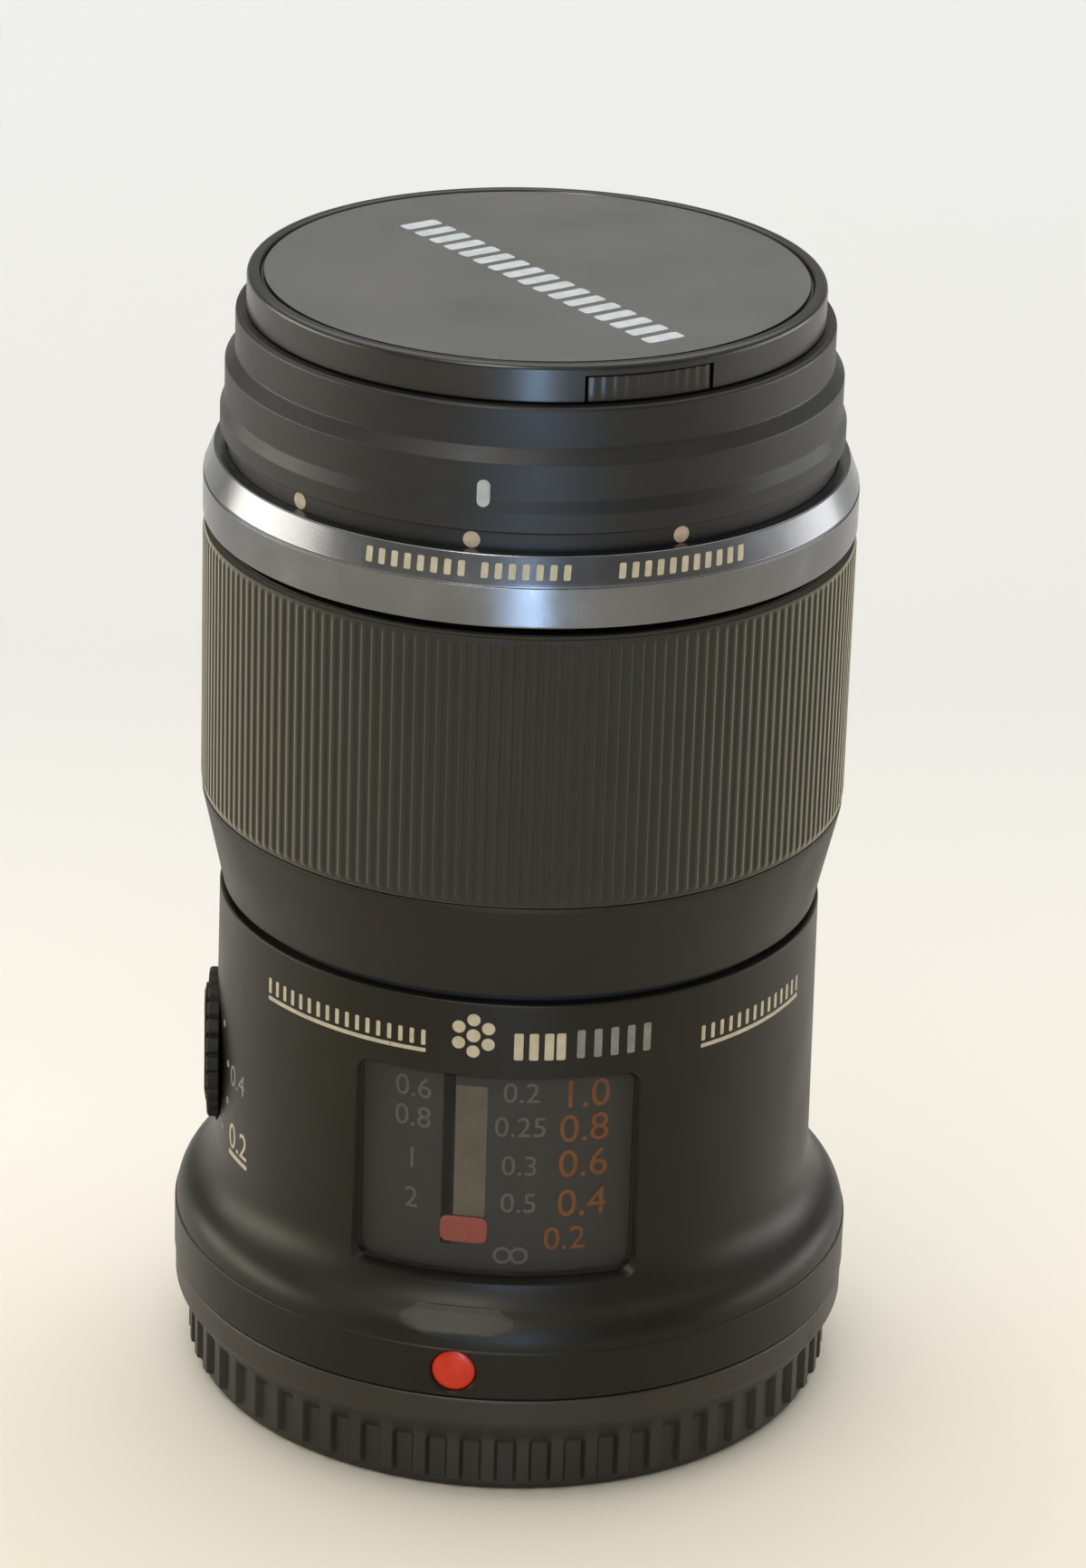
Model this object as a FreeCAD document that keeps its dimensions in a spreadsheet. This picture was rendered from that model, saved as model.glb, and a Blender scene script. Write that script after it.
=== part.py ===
"""Macro lens for a small interchangeable-lens camera, standing on its rear cap.

The lens axis is +Z and points to the front. The origin is the centre of the rear cap's
floor, and the red index bead and the distance window face -Y. An azimuth is an angle
about +Z, counted in degrees from -Y towards +X. Lengths are in millimetres.
"""
import FreeCAD, Part
import math
import os
import Sketcher
from types import SimpleNamespace

SIZES = {
    # gaps
    "seat_gap": 0.03,
    "run_gap": 0.08,
    "air_gap": 0.3,
    # rear cap
    "mount_z": 9.2,
    "rear_cap_top_gap": 0.1,
    "rear_cap_taper": 1.65,
    "rear_cap_setback": 0.1,
    "rear_cap_floor": 1.6,
    "rear_cap_wall": 1.5,
    "rear_cap_edge": 0.6,
    "rear_cap_cone_start": 4.4,
    "rear_cap_cone_end": 6.8,
    "rear_cap_rib_count": 60,
    "rear_cap_rib_height": 0.5,
    "rear_cap_rib_foot": 1.0,
    "rear_cap_rib_top": 6.0,
    "rear_cap_collar_wall": 1.2,
    "rear_cap_collar_gap": 0.6,
    "rear_cap_lug_thickness": 1.9,
    "rear_cap_lug_sweep": 46.0,
    # bayonet mount
    "throat_radius": 17.0,
    "tube_wall": 2.0,
    "tube_depth": 4.8,
    "lug_reach": 2.7,
    "lug_thickness": 1.4,
    "lug_sweep": 48.0,
    "lug_count": 3,
    "lug_setback": 2.5,
    "mount_plate_setback": 2.4,
    "mount_plate_thickness": 1.5,
    "mount_screw_setback": 3.0,
    "mount_screw_radius": 0.8,
    "mount_screw_head_radius": 1.5,
    "mount_screw_head": 0.8,
    "mount_screw_length": 2.55,
    "mount_screw_count": 4,
    "lock_hole_radius": 1.3,
    "lock_hole_azimuth": 100.0,
    "seal_width": 1.3,
    "seal_thickness": 1.05,
    "baffle_thickness": 0.8,
    "baffle_setback": 0.3,
    "baffle_opening_width": 19.0,
    "baffle_opening_height": 14.0,
    "contact_width": 3.0,
    "contact_depth": 3.3,
    "contact_sweep": 84.0,
    "contact_margin": 5.0,
    "contact_pin_setback": 1.6,
    "contact_pin_radius": 0.45,
    "contact_pin_stand": 0.3,
    "contact_pin_count": 11,
    # main barrel
    "flange_reach": 1.4,
    "flange_edge": 0.25,
    "flange_height": 4.3,
    "flare_reach": 1.9,
    "flare_lift": 6.8,
    "flare_height": 3.6,
    "flare_outer_arc": 3.2,
    "flare_inner_arc": 5.4,
    "barrel_wall": 1.2,
    "barrel_taper": 0.25,
    "barrel_height": 22.7,
    "barrel_gap": 1.2,
    "barrel_web": 2.0,
    "barrel_web_reach": 1.4,
    "bead_radius": 1.75,
    "bead_lift": 2.3,
    "bead_seat": 0.8,
    "bead_dome": 0.3,
    "land_depth": 0.3,
    "land_setback": 0.87,
    "land_height": 6.3,
    "land_length": 2.8,
    "land_width": 12.0,
    "land_tilt": 40.0,
    # distance window
    "window_azimuth": 5.4,
    "window_sweep": 53.8,
    "window_low_z": 18.4,
    "window_high_z": 35.9,
    "pane_thickness": 0.55,
    "pane_recess": 0.3,
    "plate_gap": 0.3,
    "plate_thickness": 0.4,
    "plate_margin": 1.3,
    "plate_sweep": 62.0,
    "slot_clearance": 0.1,
    "slot_low_z": 20.2,
    "slot_high_z": 36.3,
    # limiter dial
    "dial_azimuth": -80.0,
    "dial_z": 27.0,
    "dial_radius": 6.2,
    "dial_stand": 0.95,
    "dial_thickness": 1.4,
    "dial_seat_clearance": 0.3,
    "dial_shaft_radius": 2.0,
    "dial_clip_radius": 3.2,
    "dial_clip_thickness": 0.4,
    "dial_clip_gap": 0.6,
    "dial_grip_width": 1.6,
    "dial_grip_height": 0.35,
    "dial_notch_count": 24,
    "dial_notch_radius": 0.35,
    "switch_width": 9.0,
    "switch_height": 8.0,
    "switch_thickness": 0.9,
    "switch_distance": 19.2,
    # inner barrel
    "chassis_wall": 1.4,
    "chassis_bore": 20.9,
    "chassis_lift": 3.6,
    "collar_drop": 1.9,
    "bearing_wall": 1.1,
    "bearing_stand": 0.3,
    "head_reach": 0.8,
    "head_height": 5.9,
    "head_wall": 1.3,
    "head_floor": 1.4,
    # focus ring
    "focus_core_gap": 0.6,
    "focus_foot_wall": 0.72,
    "focus_lip_setback": 0.1,
    "focus_cone_height": 7.9,
    "focus_lip": 0.4,
    "focus_seat_wall": 1.62,
    "focus_seat_height": 22.8,
    "grip_wall": 0.92,
    "grip_rib_height": 0.3,
    "grip_rib_count": 120,
    "grip_top_margin": 0.1,
    # name ring and front barrel
    "name_ring_gap": 0.8,
    "name_ring_low_height": 3.4,
    "name_ring_high_height": 2.2,
    "name_ring_wall": 1.85,
    "name_ring_step": 0.85,
    "front_groove_height": 1.4,
    "front_lower_reach": 0.55,
    "front_lower_height": 1.7,
    "front_lower_slope": 1.0,
    "front_middle_reach": 0.2,
    "front_middle_height": 2.8,
    "front_middle_slope": 1.1,
    "front_upper_setback": 0.6,
    "front_upper_height": 3.2,
    "front_rim_edge": 0.35,
    "filter_wall": 1.0,
    "filter_depth": 5.0,
    "filter_step": 1.6,
    "front_spigot_depth": 4.0,
    # trim ring round the front glass
    "trim_thickness": 0.9,
    "trim_shelf_radius": 19.2,
    "trim_bore": 11.6,
    "trim_drop": 2.2,
    # fixed cells
    "cell_land": 0.7,
    "cell_land_height": 0.25,
    "front_cell_radius": 12.8,
    "front_cell_foot_z": 69.0,
    "front_cell_top_z": 82.9,
    "rear_cell_radius": 14.0,
    "rear_cell_foot_z": 13.0,
    "rear_cell_top_z": 27.0,
    "rear_flange_radius": 17.3,
    "rear_flange": 0.9,
    # guide rods, motors and screws
    "rod_radius": 0.9,
    "rod_circle": 18.4,
    "rod_azimuth": 40.0,
    "screw_circle": 17.7,
    "screw_radius": 0.8,
    "motor_radius": 2.9,
    "motor_length": 9.5,
    "bracket_width": 4.0,
    "bracket_thickness": 0.5,
    "rear_motor_z": 14.0,
    "rear_motor_azimuth": 90.0,
    "rear_screw_top_z": 48.0,
    "front_motor_z": 40.5,
    "front_motor_azimuth": -90.0,
    "front_screw_top_z": 73.0,
    # focus carriage and float carriage
    "carriage_foot_z": 27.6,
    "carriage_height": 10.8,
    "carriage_wall": 1.6,
    "focus_travel": 13.0,
    "sleeve_wall": 0.8,
    "ear_width": 1.6,
    "nut_height": 3.0,
    "arm_z": 20.8,
    "arm_height": 2.0,
    "arm_width": 0.8,
    "arm_azimuth": -4.1,
    "arm_distance": 18.3,
    "arm_thickness": 2.0,
    "marker_azimuth": -0.5,
    "marker_width": 3.8,
    "marker_height": 2.2,
    "marker_distance": 23.1,
    "marker_thickness": 0.25,
    "float_foot_z": 61.6,
    "float_height": 7.1,
    "float_travel": 4.0,
    # iris
    "iris_z": 53.0,
    "iris_base_thickness": 1.0,
    "iris_edge_gap": 0.1,
    "iris_opening": 8.8,
    "iris_wall_radius": 16.4,
    "iris_wall": 0.45,
    "iris_wall_height": 2.7,
    "iris_cover_thickness": 0.4,
    "blade_count": 7,
    "blade_pivot_circle": 14.2,
    "blade_pin_radius": 0.5,
    "blade_inner_radius": 9.0,
    "blade_outer_radius": 13.0,
    "blade_root_outer_radius": 15.0,
    "blade_start": -5.0,
    "blade_end": 126.0,
    "blade_root_end": 21.5,
    "blade_drive_circle": 13.9,
    "blade_drive_azimuth": 17.0,
    "blade_thickness": 0.12,
    "blade_pitch": 0.2,
    "blade_turn": 30.0,
    "drive_ring_bore": 10.4,
    "drive_ring_thickness": 0.7,
    "drive_ring_gap": 0.2,
    "gear_module": 0.3,
    "ring_teeth": 104,
    "pinion_teeth": 10,
    "tooth_height": 0.5,
    "tooth_share": 0.36,
    "pinion_azimuth": 150.0,
    "iris_motor_radius": 2.3,
    "iris_motor_length": 8.0,
    # electronics
    "board_z": 14.2,
    "board_thickness": 0.8,
    "board_inner_radius": 14.6,
    "board_edge_gap": 0.3,
    "board_azimuth": 165.0,
    "board_sweep": 84.0,
    "flex_azimuth": 172.0,
    "flex_sweep": 9.0,
    "flex_thickness": 0.25,
    "flex_top_z": 52.6,
    # front cap
    "cap_foot_gap": 0.1,
    "cap_height": 2.95,
    "cap_overlap": 0.15,
    "cap_edge": 0.55,
    "cap_rim_width": 1.35,
    "cap_groove": 0.3,
    "cap_groove_depth": 0.2,
    "cap_skin": 0.8,
    "cap_spigot_wall": 1.2,
    "cap_spigot_depth": 3.0,
    "cap_spigot_gap": 0.25,
    "cap_tab_azimuth": 31.4,
    "cap_tab_sweep": 25.4,
    "cap_tab_length": 6.8,
    "cap_slider_width": 8.0,
    "cap_tab_travel": 1.5,
    "cap_tab_side_gap": 0.25,
    "cap_hub_radius": 10.5,
    "cap_slider": 1.3,
    "cap_back": 1.2,
    "cap_spring_radius": 0.55,
    "cap_spring_wire": 0.1,
    "cap_spring_turns": 7,
}

# Each glass: front vertex height, thickness, front and back curvature (positive when the
# centre of curvature lies behind the surface) and edge radius
GLASS_FIELDS = ("front", "thickness", "front_curve", "back_curve", "radius")
GLASSES = {
    "lens_01": (84.6, 3.2, 32.0, 170.0, 11.2),
    "lens_02": (80.9, 4.0, 24.0, -60.0, 10.0),
    "lens_03": (76.9, 1.2, -60.0, 20.0, 10.0),
    "lens_04": (72.3, 1.2, -80.0, 26.0, 9.2),
    "lens_05": (69.5, 2.0, 40.0, -120.0, 8.6),
    "lens_06": (66.9, 3.2, 30.0, -25.0, 8.6),
    "lens_07": (63.7, 1.0, -25.0, 60.0, 8.6),
    "lens_08": (37.6, 1.2, -60.0, 24.0, 9.0),
    "lens_09": (34.0, 4.0, 28.0, -18.0, 9.0),
    "lens_10": (30.0, 1.2, -18.0, -90.0, 9.0),
    "lens_11": (24.9, 1.2, -30.0, 90.0, 10.5),
    "lens_12": (21.9, 3.6, 80.0, -32.0, 11.5),
    "lens_13": (16.7, 2.6, 60.0, 200.0, 12.2),
}
for glass_name, glass_values in GLASSES.items():
    for field, number in zip(GLASS_FIELDS, glass_values):
        SIZES[f"{glass_name}_{field}"] = number

# Glasses cemented face to face share a node
CEMENTED = (("lens_02", "lens_03"), ("lens_06", "lens_07"), ("lens_09", "lens_10"))


class Size:
    """A number with the spreadsheet formula that gives it."""

    def __init__(self, value, text=None):
        self.value = float(value)
        self.text = repr(self.value) if text is None else text

    def _with(self, other, sign, value):
        return Size(value, f"({self.text} {sign} {as_size(other).text})")

    def __add__(self, other):
        return self._with(other, "+", self.value + as_size(other).value)

    def __sub__(self, other):
        return self._with(other, "-", self.value - as_size(other).value)

    def __mul__(self, other):
        return self._with(other, "*", self.value * as_size(other).value)

    def __truediv__(self, other):
        return self._with(other, "/", self.value / as_size(other).value)

    def __radd__(self, other):
        return as_size(other) + self

    def __rsub__(self, other):
        return as_size(other) - self

    def __rmul__(self, other):
        return as_size(other) * self

    def __neg__(self):
        return Size(0.0) - self


def as_size(number):
    return number if isinstance(number, Size) else Size(number)


def sine(angle):
    angle = as_size(angle)
    return Size(math.sin(math.radians(angle.value)), f"sin({angle.text})")


def cosine(angle):
    angle = as_size(angle)
    return Size(math.cos(math.radians(angle.value)), f"cos({angle.text})")


def root(size):
    return Size(math.sqrt(size.value), f"sqrt({size.text})")


doc = FreeCAD.newDocument("macro_lens")
sheet = doc.addObject("Spreadsheet::Sheet", "dims")
for row, (alias, number) in enumerate(SIZES.items(), start=1):
    sheet.set(f"A{row}", alias)
    sheet.set(f"B{row}", str(number))
    sheet.setAlias(f"B{row}", alias)
doc.recompute()
d = SimpleNamespace(**{alias: Size(number, "dims." + alias) for alias, number in SIZES.items()})

# Sizes that follow from others: radii from the inside out, then heights upwards
d.chassis_radius = d.chassis_bore + d.chassis_wall
d.board_outer_radius = d.chassis_bore - d.board_edge_gap
d.iris_base_radius = d.chassis_bore - d.iris_edge_gap
d.barrel_bore = d.chassis_radius + d.barrel_gap
d.barrel_radius = d.barrel_bore + d.barrel_wall
d.barrel_top_radius = d.barrel_radius - d.barrel_taper
d.flare_shoulder_radius = d.barrel_radius + d.flare_reach
d.flange_radius = d.flare_shoulder_radius + d.flange_reach
d.mount_plate_radius = d.flange_radius - d.mount_plate_setback
d.mount_screw_circle = d.mount_plate_radius - d.mount_screw_setback
d.tube_radius = d.throat_radius + d.tube_wall
d.lug_radius = d.tube_radius + d.lug_reach
d.contact_inner_radius = d.throat_radius - d.contact_width
d.contact_pin_circle = d.throat_radius - d.contact_pin_setback
d.barrel_web_bore = d.throat_radius - d.barrel_web_reach
d.rear_cap_rim_radius = d.flange_radius - d.rear_cap_setback
d.rear_cap_foot_radius = d.rear_cap_rim_radius - d.rear_cap_taper
d.rear_cap_collar_radius = d.lug_radius + d.rear_cap_collar_gap
d.rear_cap_height = d.mount_z - d.rear_cap_top_gap
d.plate_inner_radius = d.chassis_radius + d.plate_gap
d.dial_face_distance = d.barrel_radius + d.dial_stand
d.dial_clip_distance = d.barrel_bore - d.dial_clip_gap
d.bearing_radius = d.chassis_radius + d.bearing_wall
d.focus_core_foot_radius = d.bearing_radius + d.run_gap + d.focus_foot_wall
d.focus_core_seat_radius = d.bearing_radius + d.run_gap + d.focus_seat_wall
d.grip_radius = d.focus_core_seat_radius + d.seat_gap + d.grip_wall
d.focus_core_lip_radius = d.grip_radius - d.focus_lip_setback
d.head_radius = d.bearing_radius + d.head_reach
d.head_bore = d.head_radius - d.head_wall
d.front_groove_radius = d.head_radius
d.name_ring_radius = d.head_radius + d.name_ring_wall
d.name_ring_top_radius = d.name_ring_radius - d.name_ring_step
d.front_lower_radius = d.head_radius + d.front_lower_reach
d.front_middle_radius = d.head_radius + d.front_middle_reach
d.front_upper_radius = d.head_radius - d.front_upper_setback
d.filter_bore = d.front_upper_radius - d.filter_wall
d.front_bore = d.filter_bore - d.filter_step
d.cap_radius = d.filter_bore + d.cap_overlap
d.cap_disc_radius = d.cap_radius - d.cap_rim_width
d.bead_z = d.mount_z + d.bead_lift
d.chassis_foot_z = d.mount_z + d.chassis_lift
d.flare_shoulder_z = d.mount_z + d.flare_lift
d.flare_foot_z = d.flare_shoulder_z + d.flare_height
d.barrel_top_z = d.flare_foot_z + d.barrel_height
d.collar_z = d.barrel_top_z - d.collar_drop
d.focus_core_foot_z = d.barrel_top_z + d.focus_core_gap
d.focus_cone_top_z = d.focus_core_foot_z + d.focus_cone_height
d.focus_core_top_z = d.focus_cone_top_z + d.focus_seat_height
d.bearing_top_z = d.focus_core_top_z + d.bearing_stand
d.head_top_z = d.bearing_top_z + d.head_height
d.name_ring_foot_z = d.focus_core_top_z + d.name_ring_gap
d.name_ring_step_z = d.name_ring_foot_z + d.name_ring_low_height
d.name_ring_top_z = d.name_ring_step_z + d.name_ring_high_height
d.front_spigot_foot_z = d.name_ring_top_z - d.front_spigot_depth
d.front_groove_top_z = d.name_ring_top_z + d.front_groove_height
d.front_lower_top_z = d.front_groove_top_z + d.front_lower_height
d.front_middle_foot_z = d.front_lower_top_z + d.front_lower_slope
d.front_middle_top_z = d.front_middle_foot_z + d.front_middle_height
d.front_upper_foot_z = d.front_middle_top_z + d.front_middle_slope
d.front_rim_z = d.front_upper_foot_z + d.front_upper_height
d.cap_foot_z = d.front_rim_z + d.cap_foot_gap
d.cap_top_z = d.cap_foot_z + d.cap_height

NODES = []
UP = FreeCAD.Vector(0, 0, 1)


def keep(thing, label):
    """Give a finished sub-part its label and list it for export."""
    thing.Label = label
    NODES.append(thing)
    return thing


def bind(thing, name, size):
    thing.setExpression(name, as_size(size).text)


def origin_feature(body, role):
    return next(item for item in body.Origin.OriginFeatures if item.Role == role)


def arc_geometry(start, end, radius):
    """The short arc from start to end; a positive radius turns left, a negative one right."""
    span = end - start
    middle = (start + end) * 0.5
    left = FreeCAD.Vector(-span.y, span.x, 0).normalize()
    reach = math.sqrt(radius ** 2 - (span.Length / 2) ** 2)
    centre = middle + left * (reach if radius > 0 else -reach)
    first, last = (start, end) if radius > 0 else (end, start)
    angles = [math.atan2(point.y - centre.y, point.x - centre.x) for point in (first, last)]
    circle = Part.Circle(centre, UP, abs(radius))
    return Part.ArcOfCircle(circle, angles[0], angles[1])


def outline_sketch(body, name, outline, azimuth):
    """A closed profile of (radius, height) points in the half plane at an azimuth.

    A third value on a point is the signed radius of the arc that leads to it.
    """
    sketch = body.newObject("Sketcher::SketchObject", name)
    sketch.AttachmentSupport = [(origin_feature(body, "XZ_Plane"), "")]
    sketch.MapMode = "FlatFace"
    turn = as_size(azimuth) - 90
    sketch.AttachmentOffset = FreeCAD.Placement(
        FreeCAD.Vector(), FreeCAD.Rotation(FreeCAD.Vector(0, 1, 0), turn.value))
    points = [FreeCAD.Vector(as_size(p[0]).value, as_size(p[1]).value, 0) for p in outline]
    ends = []
    for index, start in enumerate(points):
        target = (index + 1) % len(points)
        bulge = outline[target][2] if len(outline[target]) > 2 else None
        if bulge is None:
            sketch.addGeometry(Part.LineSegment(start, points[target]), False)
            ends.append((1, 2))
        else:
            sketch.addGeometry(arc_geometry(start, points[target], as_size(bulge).value), False)
            ends.append((1, 2) if as_size(bulge).value > 0 else (2, 1))
    for index in range(len(points)):
        target = (index + 1) % len(points)
        sketch.addConstraint(Sketcher.Constraint(
            "Coincident", index, ends[index][1], target, ends[target][0]))
    for index, point in enumerate(outline):
        for kind, axis, size in (("DistanceX", -2, point[0]), ("DistanceY", -1, point[1])):
            size = as_size(size)
            if size.value == 0.0:
                sketch.addConstraint(Sketcher.Constraint(
                    "PointOnObject", index, ends[index][0], axis))
                continue
            number = sketch.addConstraint(Sketcher.Constraint(
                kind, -1, 1, index, ends[index][0], size.value))
            sketch.setExpression(f"Constraints[{number}]", size.text)
        target = (index + 1) % len(outline)
        if len(outline[target]) > 2:
            bulge = as_size(outline[target][2])
            length = bulge if bulge.value > 0 else -bulge
            number = sketch.addConstraint(Sketcher.Constraint("Radius", index, length.value))
            sketch.setExpression(f"Constraints[{number}]", length.text)
    return sketch


def revolve(body, name, outline, sweep=360, azimuth=90, kind="Revolution"):
    """Turn a profile about the lens axis, centred on an azimuth when it is not a full turn."""
    sketch = outline_sketch(body, name + "_outline", outline, azimuth)
    feature = body.newObject("PartDesign::" + kind, name)
    feature.Profile = sketch
    feature.ReferenceAxis = (sketch, ["V_Axis"])
    feature.Midplane = as_size(sweep).value < 360
    bind(feature, "Angle", sweep)
    body.Tip = feature
    return feature


def polar(body, feature, count):
    """Repeat a feature of the body round the lens axis."""
    pattern = body.newObject("PartDesign::PolarPattern", feature.Name + "_pattern")
    pattern.Originals = [feature]
    pattern.Axis = (origin_feature(body, "Z_Axis"), [""])
    pattern.Angle = 360
    bind(pattern, "Occurrences", count)
    body.Tip = pattern
    return pattern


def turned(name, outline, sweep=360, azimuth=90):
    body = doc.addObject("PartDesign::Body", name)
    revolve(body, name + "_turn", outline, sweep, azimuth)
    return body


def ring(low_radius, high_radius, low_z, high_z):
    """The four corners of a plain ring's section."""
    return [(low_radius, low_z), (high_radius, low_z), (high_radius, high_z), (low_radius, high_z)]


def place(thing, x, y, z, azimuth):
    """Set down a primitive, turned about the lens axis by an azimuth."""
    turn = as_size(azimuth)
    east = cosine(turn) * x - sine(turn) * y
    north = sine(turn) * x + cosine(turn) * y
    thing.Placement = FreeCAD.Placement(
        FreeCAD.Vector(east.value, north.value, as_size(z).value), FreeCAD.Rotation(UP, turn.value))
    bind(thing, "Placement.Base.x", east)
    bind(thing, "Placement.Base.y", north)
    bind(thing, "Placement.Base.z", z)
    return thing


def block(name, width, near, far, low_z, high_z, azimuth):
    """A box centred on an azimuth, from one distance to another along its radius."""
    box = doc.addObject("Part::Box", name)
    bind(box, "Length", width)
    bind(box, "Width", far - near)
    bind(box, "Height", high_z - low_z)
    return place(box, -width / 2, -as_size(far), low_z, azimuth)


def post(name, radius, low_z, high_z, circle=0, azimuth=0):
    """An upright cylinder on a circle about the lens axis."""
    cylinder = doc.addObject("Part::Cylinder", name)
    bind(cylinder, "Radius", radius)
    bind(cylinder, "Height", as_size(high_z) - low_z)
    return place(cylinder, 0, -as_size(circle), low_z, azimuth)


def stud(name, radius, near, far, azimuth, z):
    """A cylinder that points outwards along a radius."""
    cylinder = doc.addObject("Part::Cylinder", name)
    bind(cylinder, "Radius", radius)
    bind(cylinder, "Height", far - near)
    turn = math.radians(as_size(azimuth).value)
    outwards = FreeCAD.Vector(math.sin(turn), -math.cos(turn), 0)
    cylinder.Placement = FreeCAD.Placement(
        outwards * near.value + UP * as_size(z).value, FreeCAD.Rotation(UP, outwards))
    bind(cylinder, "Placement.Base.x", near * sine(azimuth))
    bind(cylinder, "Placement.Base.y", -near * cosine(azimuth))
    bind(cylinder, "Placement.Base.z", z)
    return cylinder


def joined(name, pieces):
    fuse = doc.addObject("Part::MultiFuse", name)
    fuse.Shapes = pieces
    return fuse


def carved(name, base, tools):
    """A piece less its tools."""
    cut = doc.addObject("Part::Cut", name)
    cut.Base = base
    cut.Tool = tools[0] if len(tools) == 1 else joined(name + "_tools", tools)
    return cut


def group(name, pieces):
    """Like pieces that share one node, each a solid of its own."""
    compound = doc.addObject("Part::Compound", name)
    compound.Links = pieces
    return compound


def made(name, shape):
    """A piece whose form comes from its own formula."""
    feature = doc.addObject("Part::Feature", name)
    feature.Shape = shape
    return feature


def polygon_face(points):
    return Part.Face(Part.makePolygon(points + points[:1]))


def extruded(face, low_z, height):
    face.translate(UP * low_z)
    return face.extrude(UP * height)


def toothed_disc(root_radius, tip_radius, count, tip_share, foot_share):
    """A flat disc with straight-sided teeth, each a share of the pitch wide at tip and foot."""
    pitch = 2 * math.pi / count
    points = []
    for index in range(count):
        middle = index * pitch
        for radius, offset in ((root_radius, -foot_share / 2), (tip_radius, -tip_share / 2),
                               (tip_radius, tip_share / 2), (root_radius, foot_share / 2)):
            angle = middle + offset * pitch
            points.append(FreeCAD.Vector(radius * math.cos(angle), radius * math.sin(angle), 0))
    return polygon_face(points)


def rear_cap():
    """The ribbed cup, with an inner collar whose three lugs lock behind those of the mount."""
    inner = d.rear_cap_rim_radius - d.rear_cap_wall
    foot_inner = d.rear_cap_foot_radius - d.rear_cap_wall
    collar_outer = d.rear_cap_collar_radius + d.rear_cap_collar_wall
    collar_top = d.mount_z - d.air_gap
    outline = [
        (0, 0),
        (d.rear_cap_foot_radius - d.rear_cap_edge, 0),
        (d.rear_cap_foot_radius, d.rear_cap_edge),
        (d.rear_cap_foot_radius, d.rear_cap_cone_start),
        (d.rear_cap_rim_radius, d.rear_cap_cone_end),
        (d.rear_cap_rim_radius, d.rear_cap_height),
        (inner, d.rear_cap_height),
        (inner, d.rear_cap_cone_end),
        (foot_inner, d.rear_cap_cone_start),
        (foot_inner, d.rear_cap_floor),
        (collar_outer, d.rear_cap_floor),
        (collar_outer, collar_top),
        (d.rear_cap_collar_radius, collar_top),
        (d.rear_cap_collar_radius, d.rear_cap_floor),
        (0, d.rear_cap_floor),
    ]
    body = turned("rear_cap_cup", outline)
    lug_inner = d.tube_radius + d.air_gap
    lug_outer = d.rear_cap_collar_radius + d.rear_cap_collar_wall / 2
    lug = revolve(body, "rear_cap_lug",
                  ring(lug_inner, lug_outer, collar_top - d.rear_cap_lug_thickness, collar_top),
                  d.rear_cap_lug_sweep, 0)
    polar(body, lug, d.lug_count)
    rib_count = int(d.rear_cap_rib_count.value)
    core = d.rear_cap_foot_radius.value - d.rear_cap_rib_height.value
    teeth = toothed_disc(d.rear_cap_foot_radius.value - 0.1,
                         d.rear_cap_foot_radius.value + d.rear_cap_rib_height.value,
                         rib_count, 0.36, 0.6)
    band = teeth.cut(Part.Face(Part.Wire(Part.makeCircle(core))))
    ribs = made("rear_cap_ribs", extruded(band, d.rear_cap_rib_foot.value,
                                          d.rear_cap_rib_top.value - d.rear_cap_rib_foot.value))
    keep(joined("rear_cap", [body, ribs]), "rear_cap")


def mount_ring_azimuth(index, count, offset=0):
    return Size(offset + 360.0 / count.value * index)


def bayonet():
    """The metal mount: plate, tube and lugs in one turned piece, with its screw holes."""
    tube_foot = d.mount_z - d.tube_depth
    plate_top = d.mount_z + d.mount_plate_thickness
    body = turned("mount_turning", [
        (d.throat_radius, tube_foot),
        (d.tube_radius, tube_foot),
        (d.tube_radius, d.mount_z),
        (d.mount_plate_radius, d.mount_z),
        (d.mount_plate_radius, plate_top),
        (d.throat_radius, plate_top),
    ])
    lug_top = d.mount_z - d.lug_setback
    lug = revolve(body, "mount_lug",
                  ring(d.tube_radius - d.seat_gap * 10, d.lug_radius,
                       lug_top - d.lug_thickness, lug_top),
                  d.lug_sweep, 0)
    polar(body, lug, d.lug_count)
    tools = [post("lock_hole", d.lock_hole_radius, d.mount_z - 1, plate_top + 1,
                  d.mount_screw_circle, d.lock_hole_azimuth)]
    screws = []
    head_top = d.mount_z + d.mount_screw_head + d.run_gap
    for index in range(int(d.mount_screw_count.value)):
        azimuth = mount_ring_azimuth(index, d.mount_screw_count, 45)
        tools.append(post(f"mount_screw_hole_{index}", d.mount_screw_radius + d.run_gap,
                          d.mount_z - 1, plate_top + 1, d.mount_screw_circle, azimuth))
        tools.append(post(f"mount_screw_sink_{index}", d.mount_screw_head_radius + d.run_gap,
                          d.mount_z - 1, head_top, d.mount_screw_circle, azimuth))
        head = post(f"mount_screw_head_{index}", d.mount_screw_head_radius,
                    head_top - d.mount_screw_head, head_top, d.mount_screw_circle, azimuth)
        shank = post(f"mount_screw_shank_{index}", d.mount_screw_radius,
                     head_top - d.mount_screw_head / 2, head_top + d.mount_screw_length,
                     d.mount_screw_circle, azimuth)
        screws.append(joined(f"mount_screw_{index}", [head, shank]))
    keep(carved("mount_bayonet", body, tools), "mount_bayonet")
    keep(group("mount_screws", screws), "mount_screws")
    seal_inner = d.mount_plate_radius + d.seat_gap
    keep(turned("mount_seal", ring(seal_inner, seal_inner + d.seal_width, d.mount_z,
                                   d.mount_z + d.seal_thickness)), "mount_seal")


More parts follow.
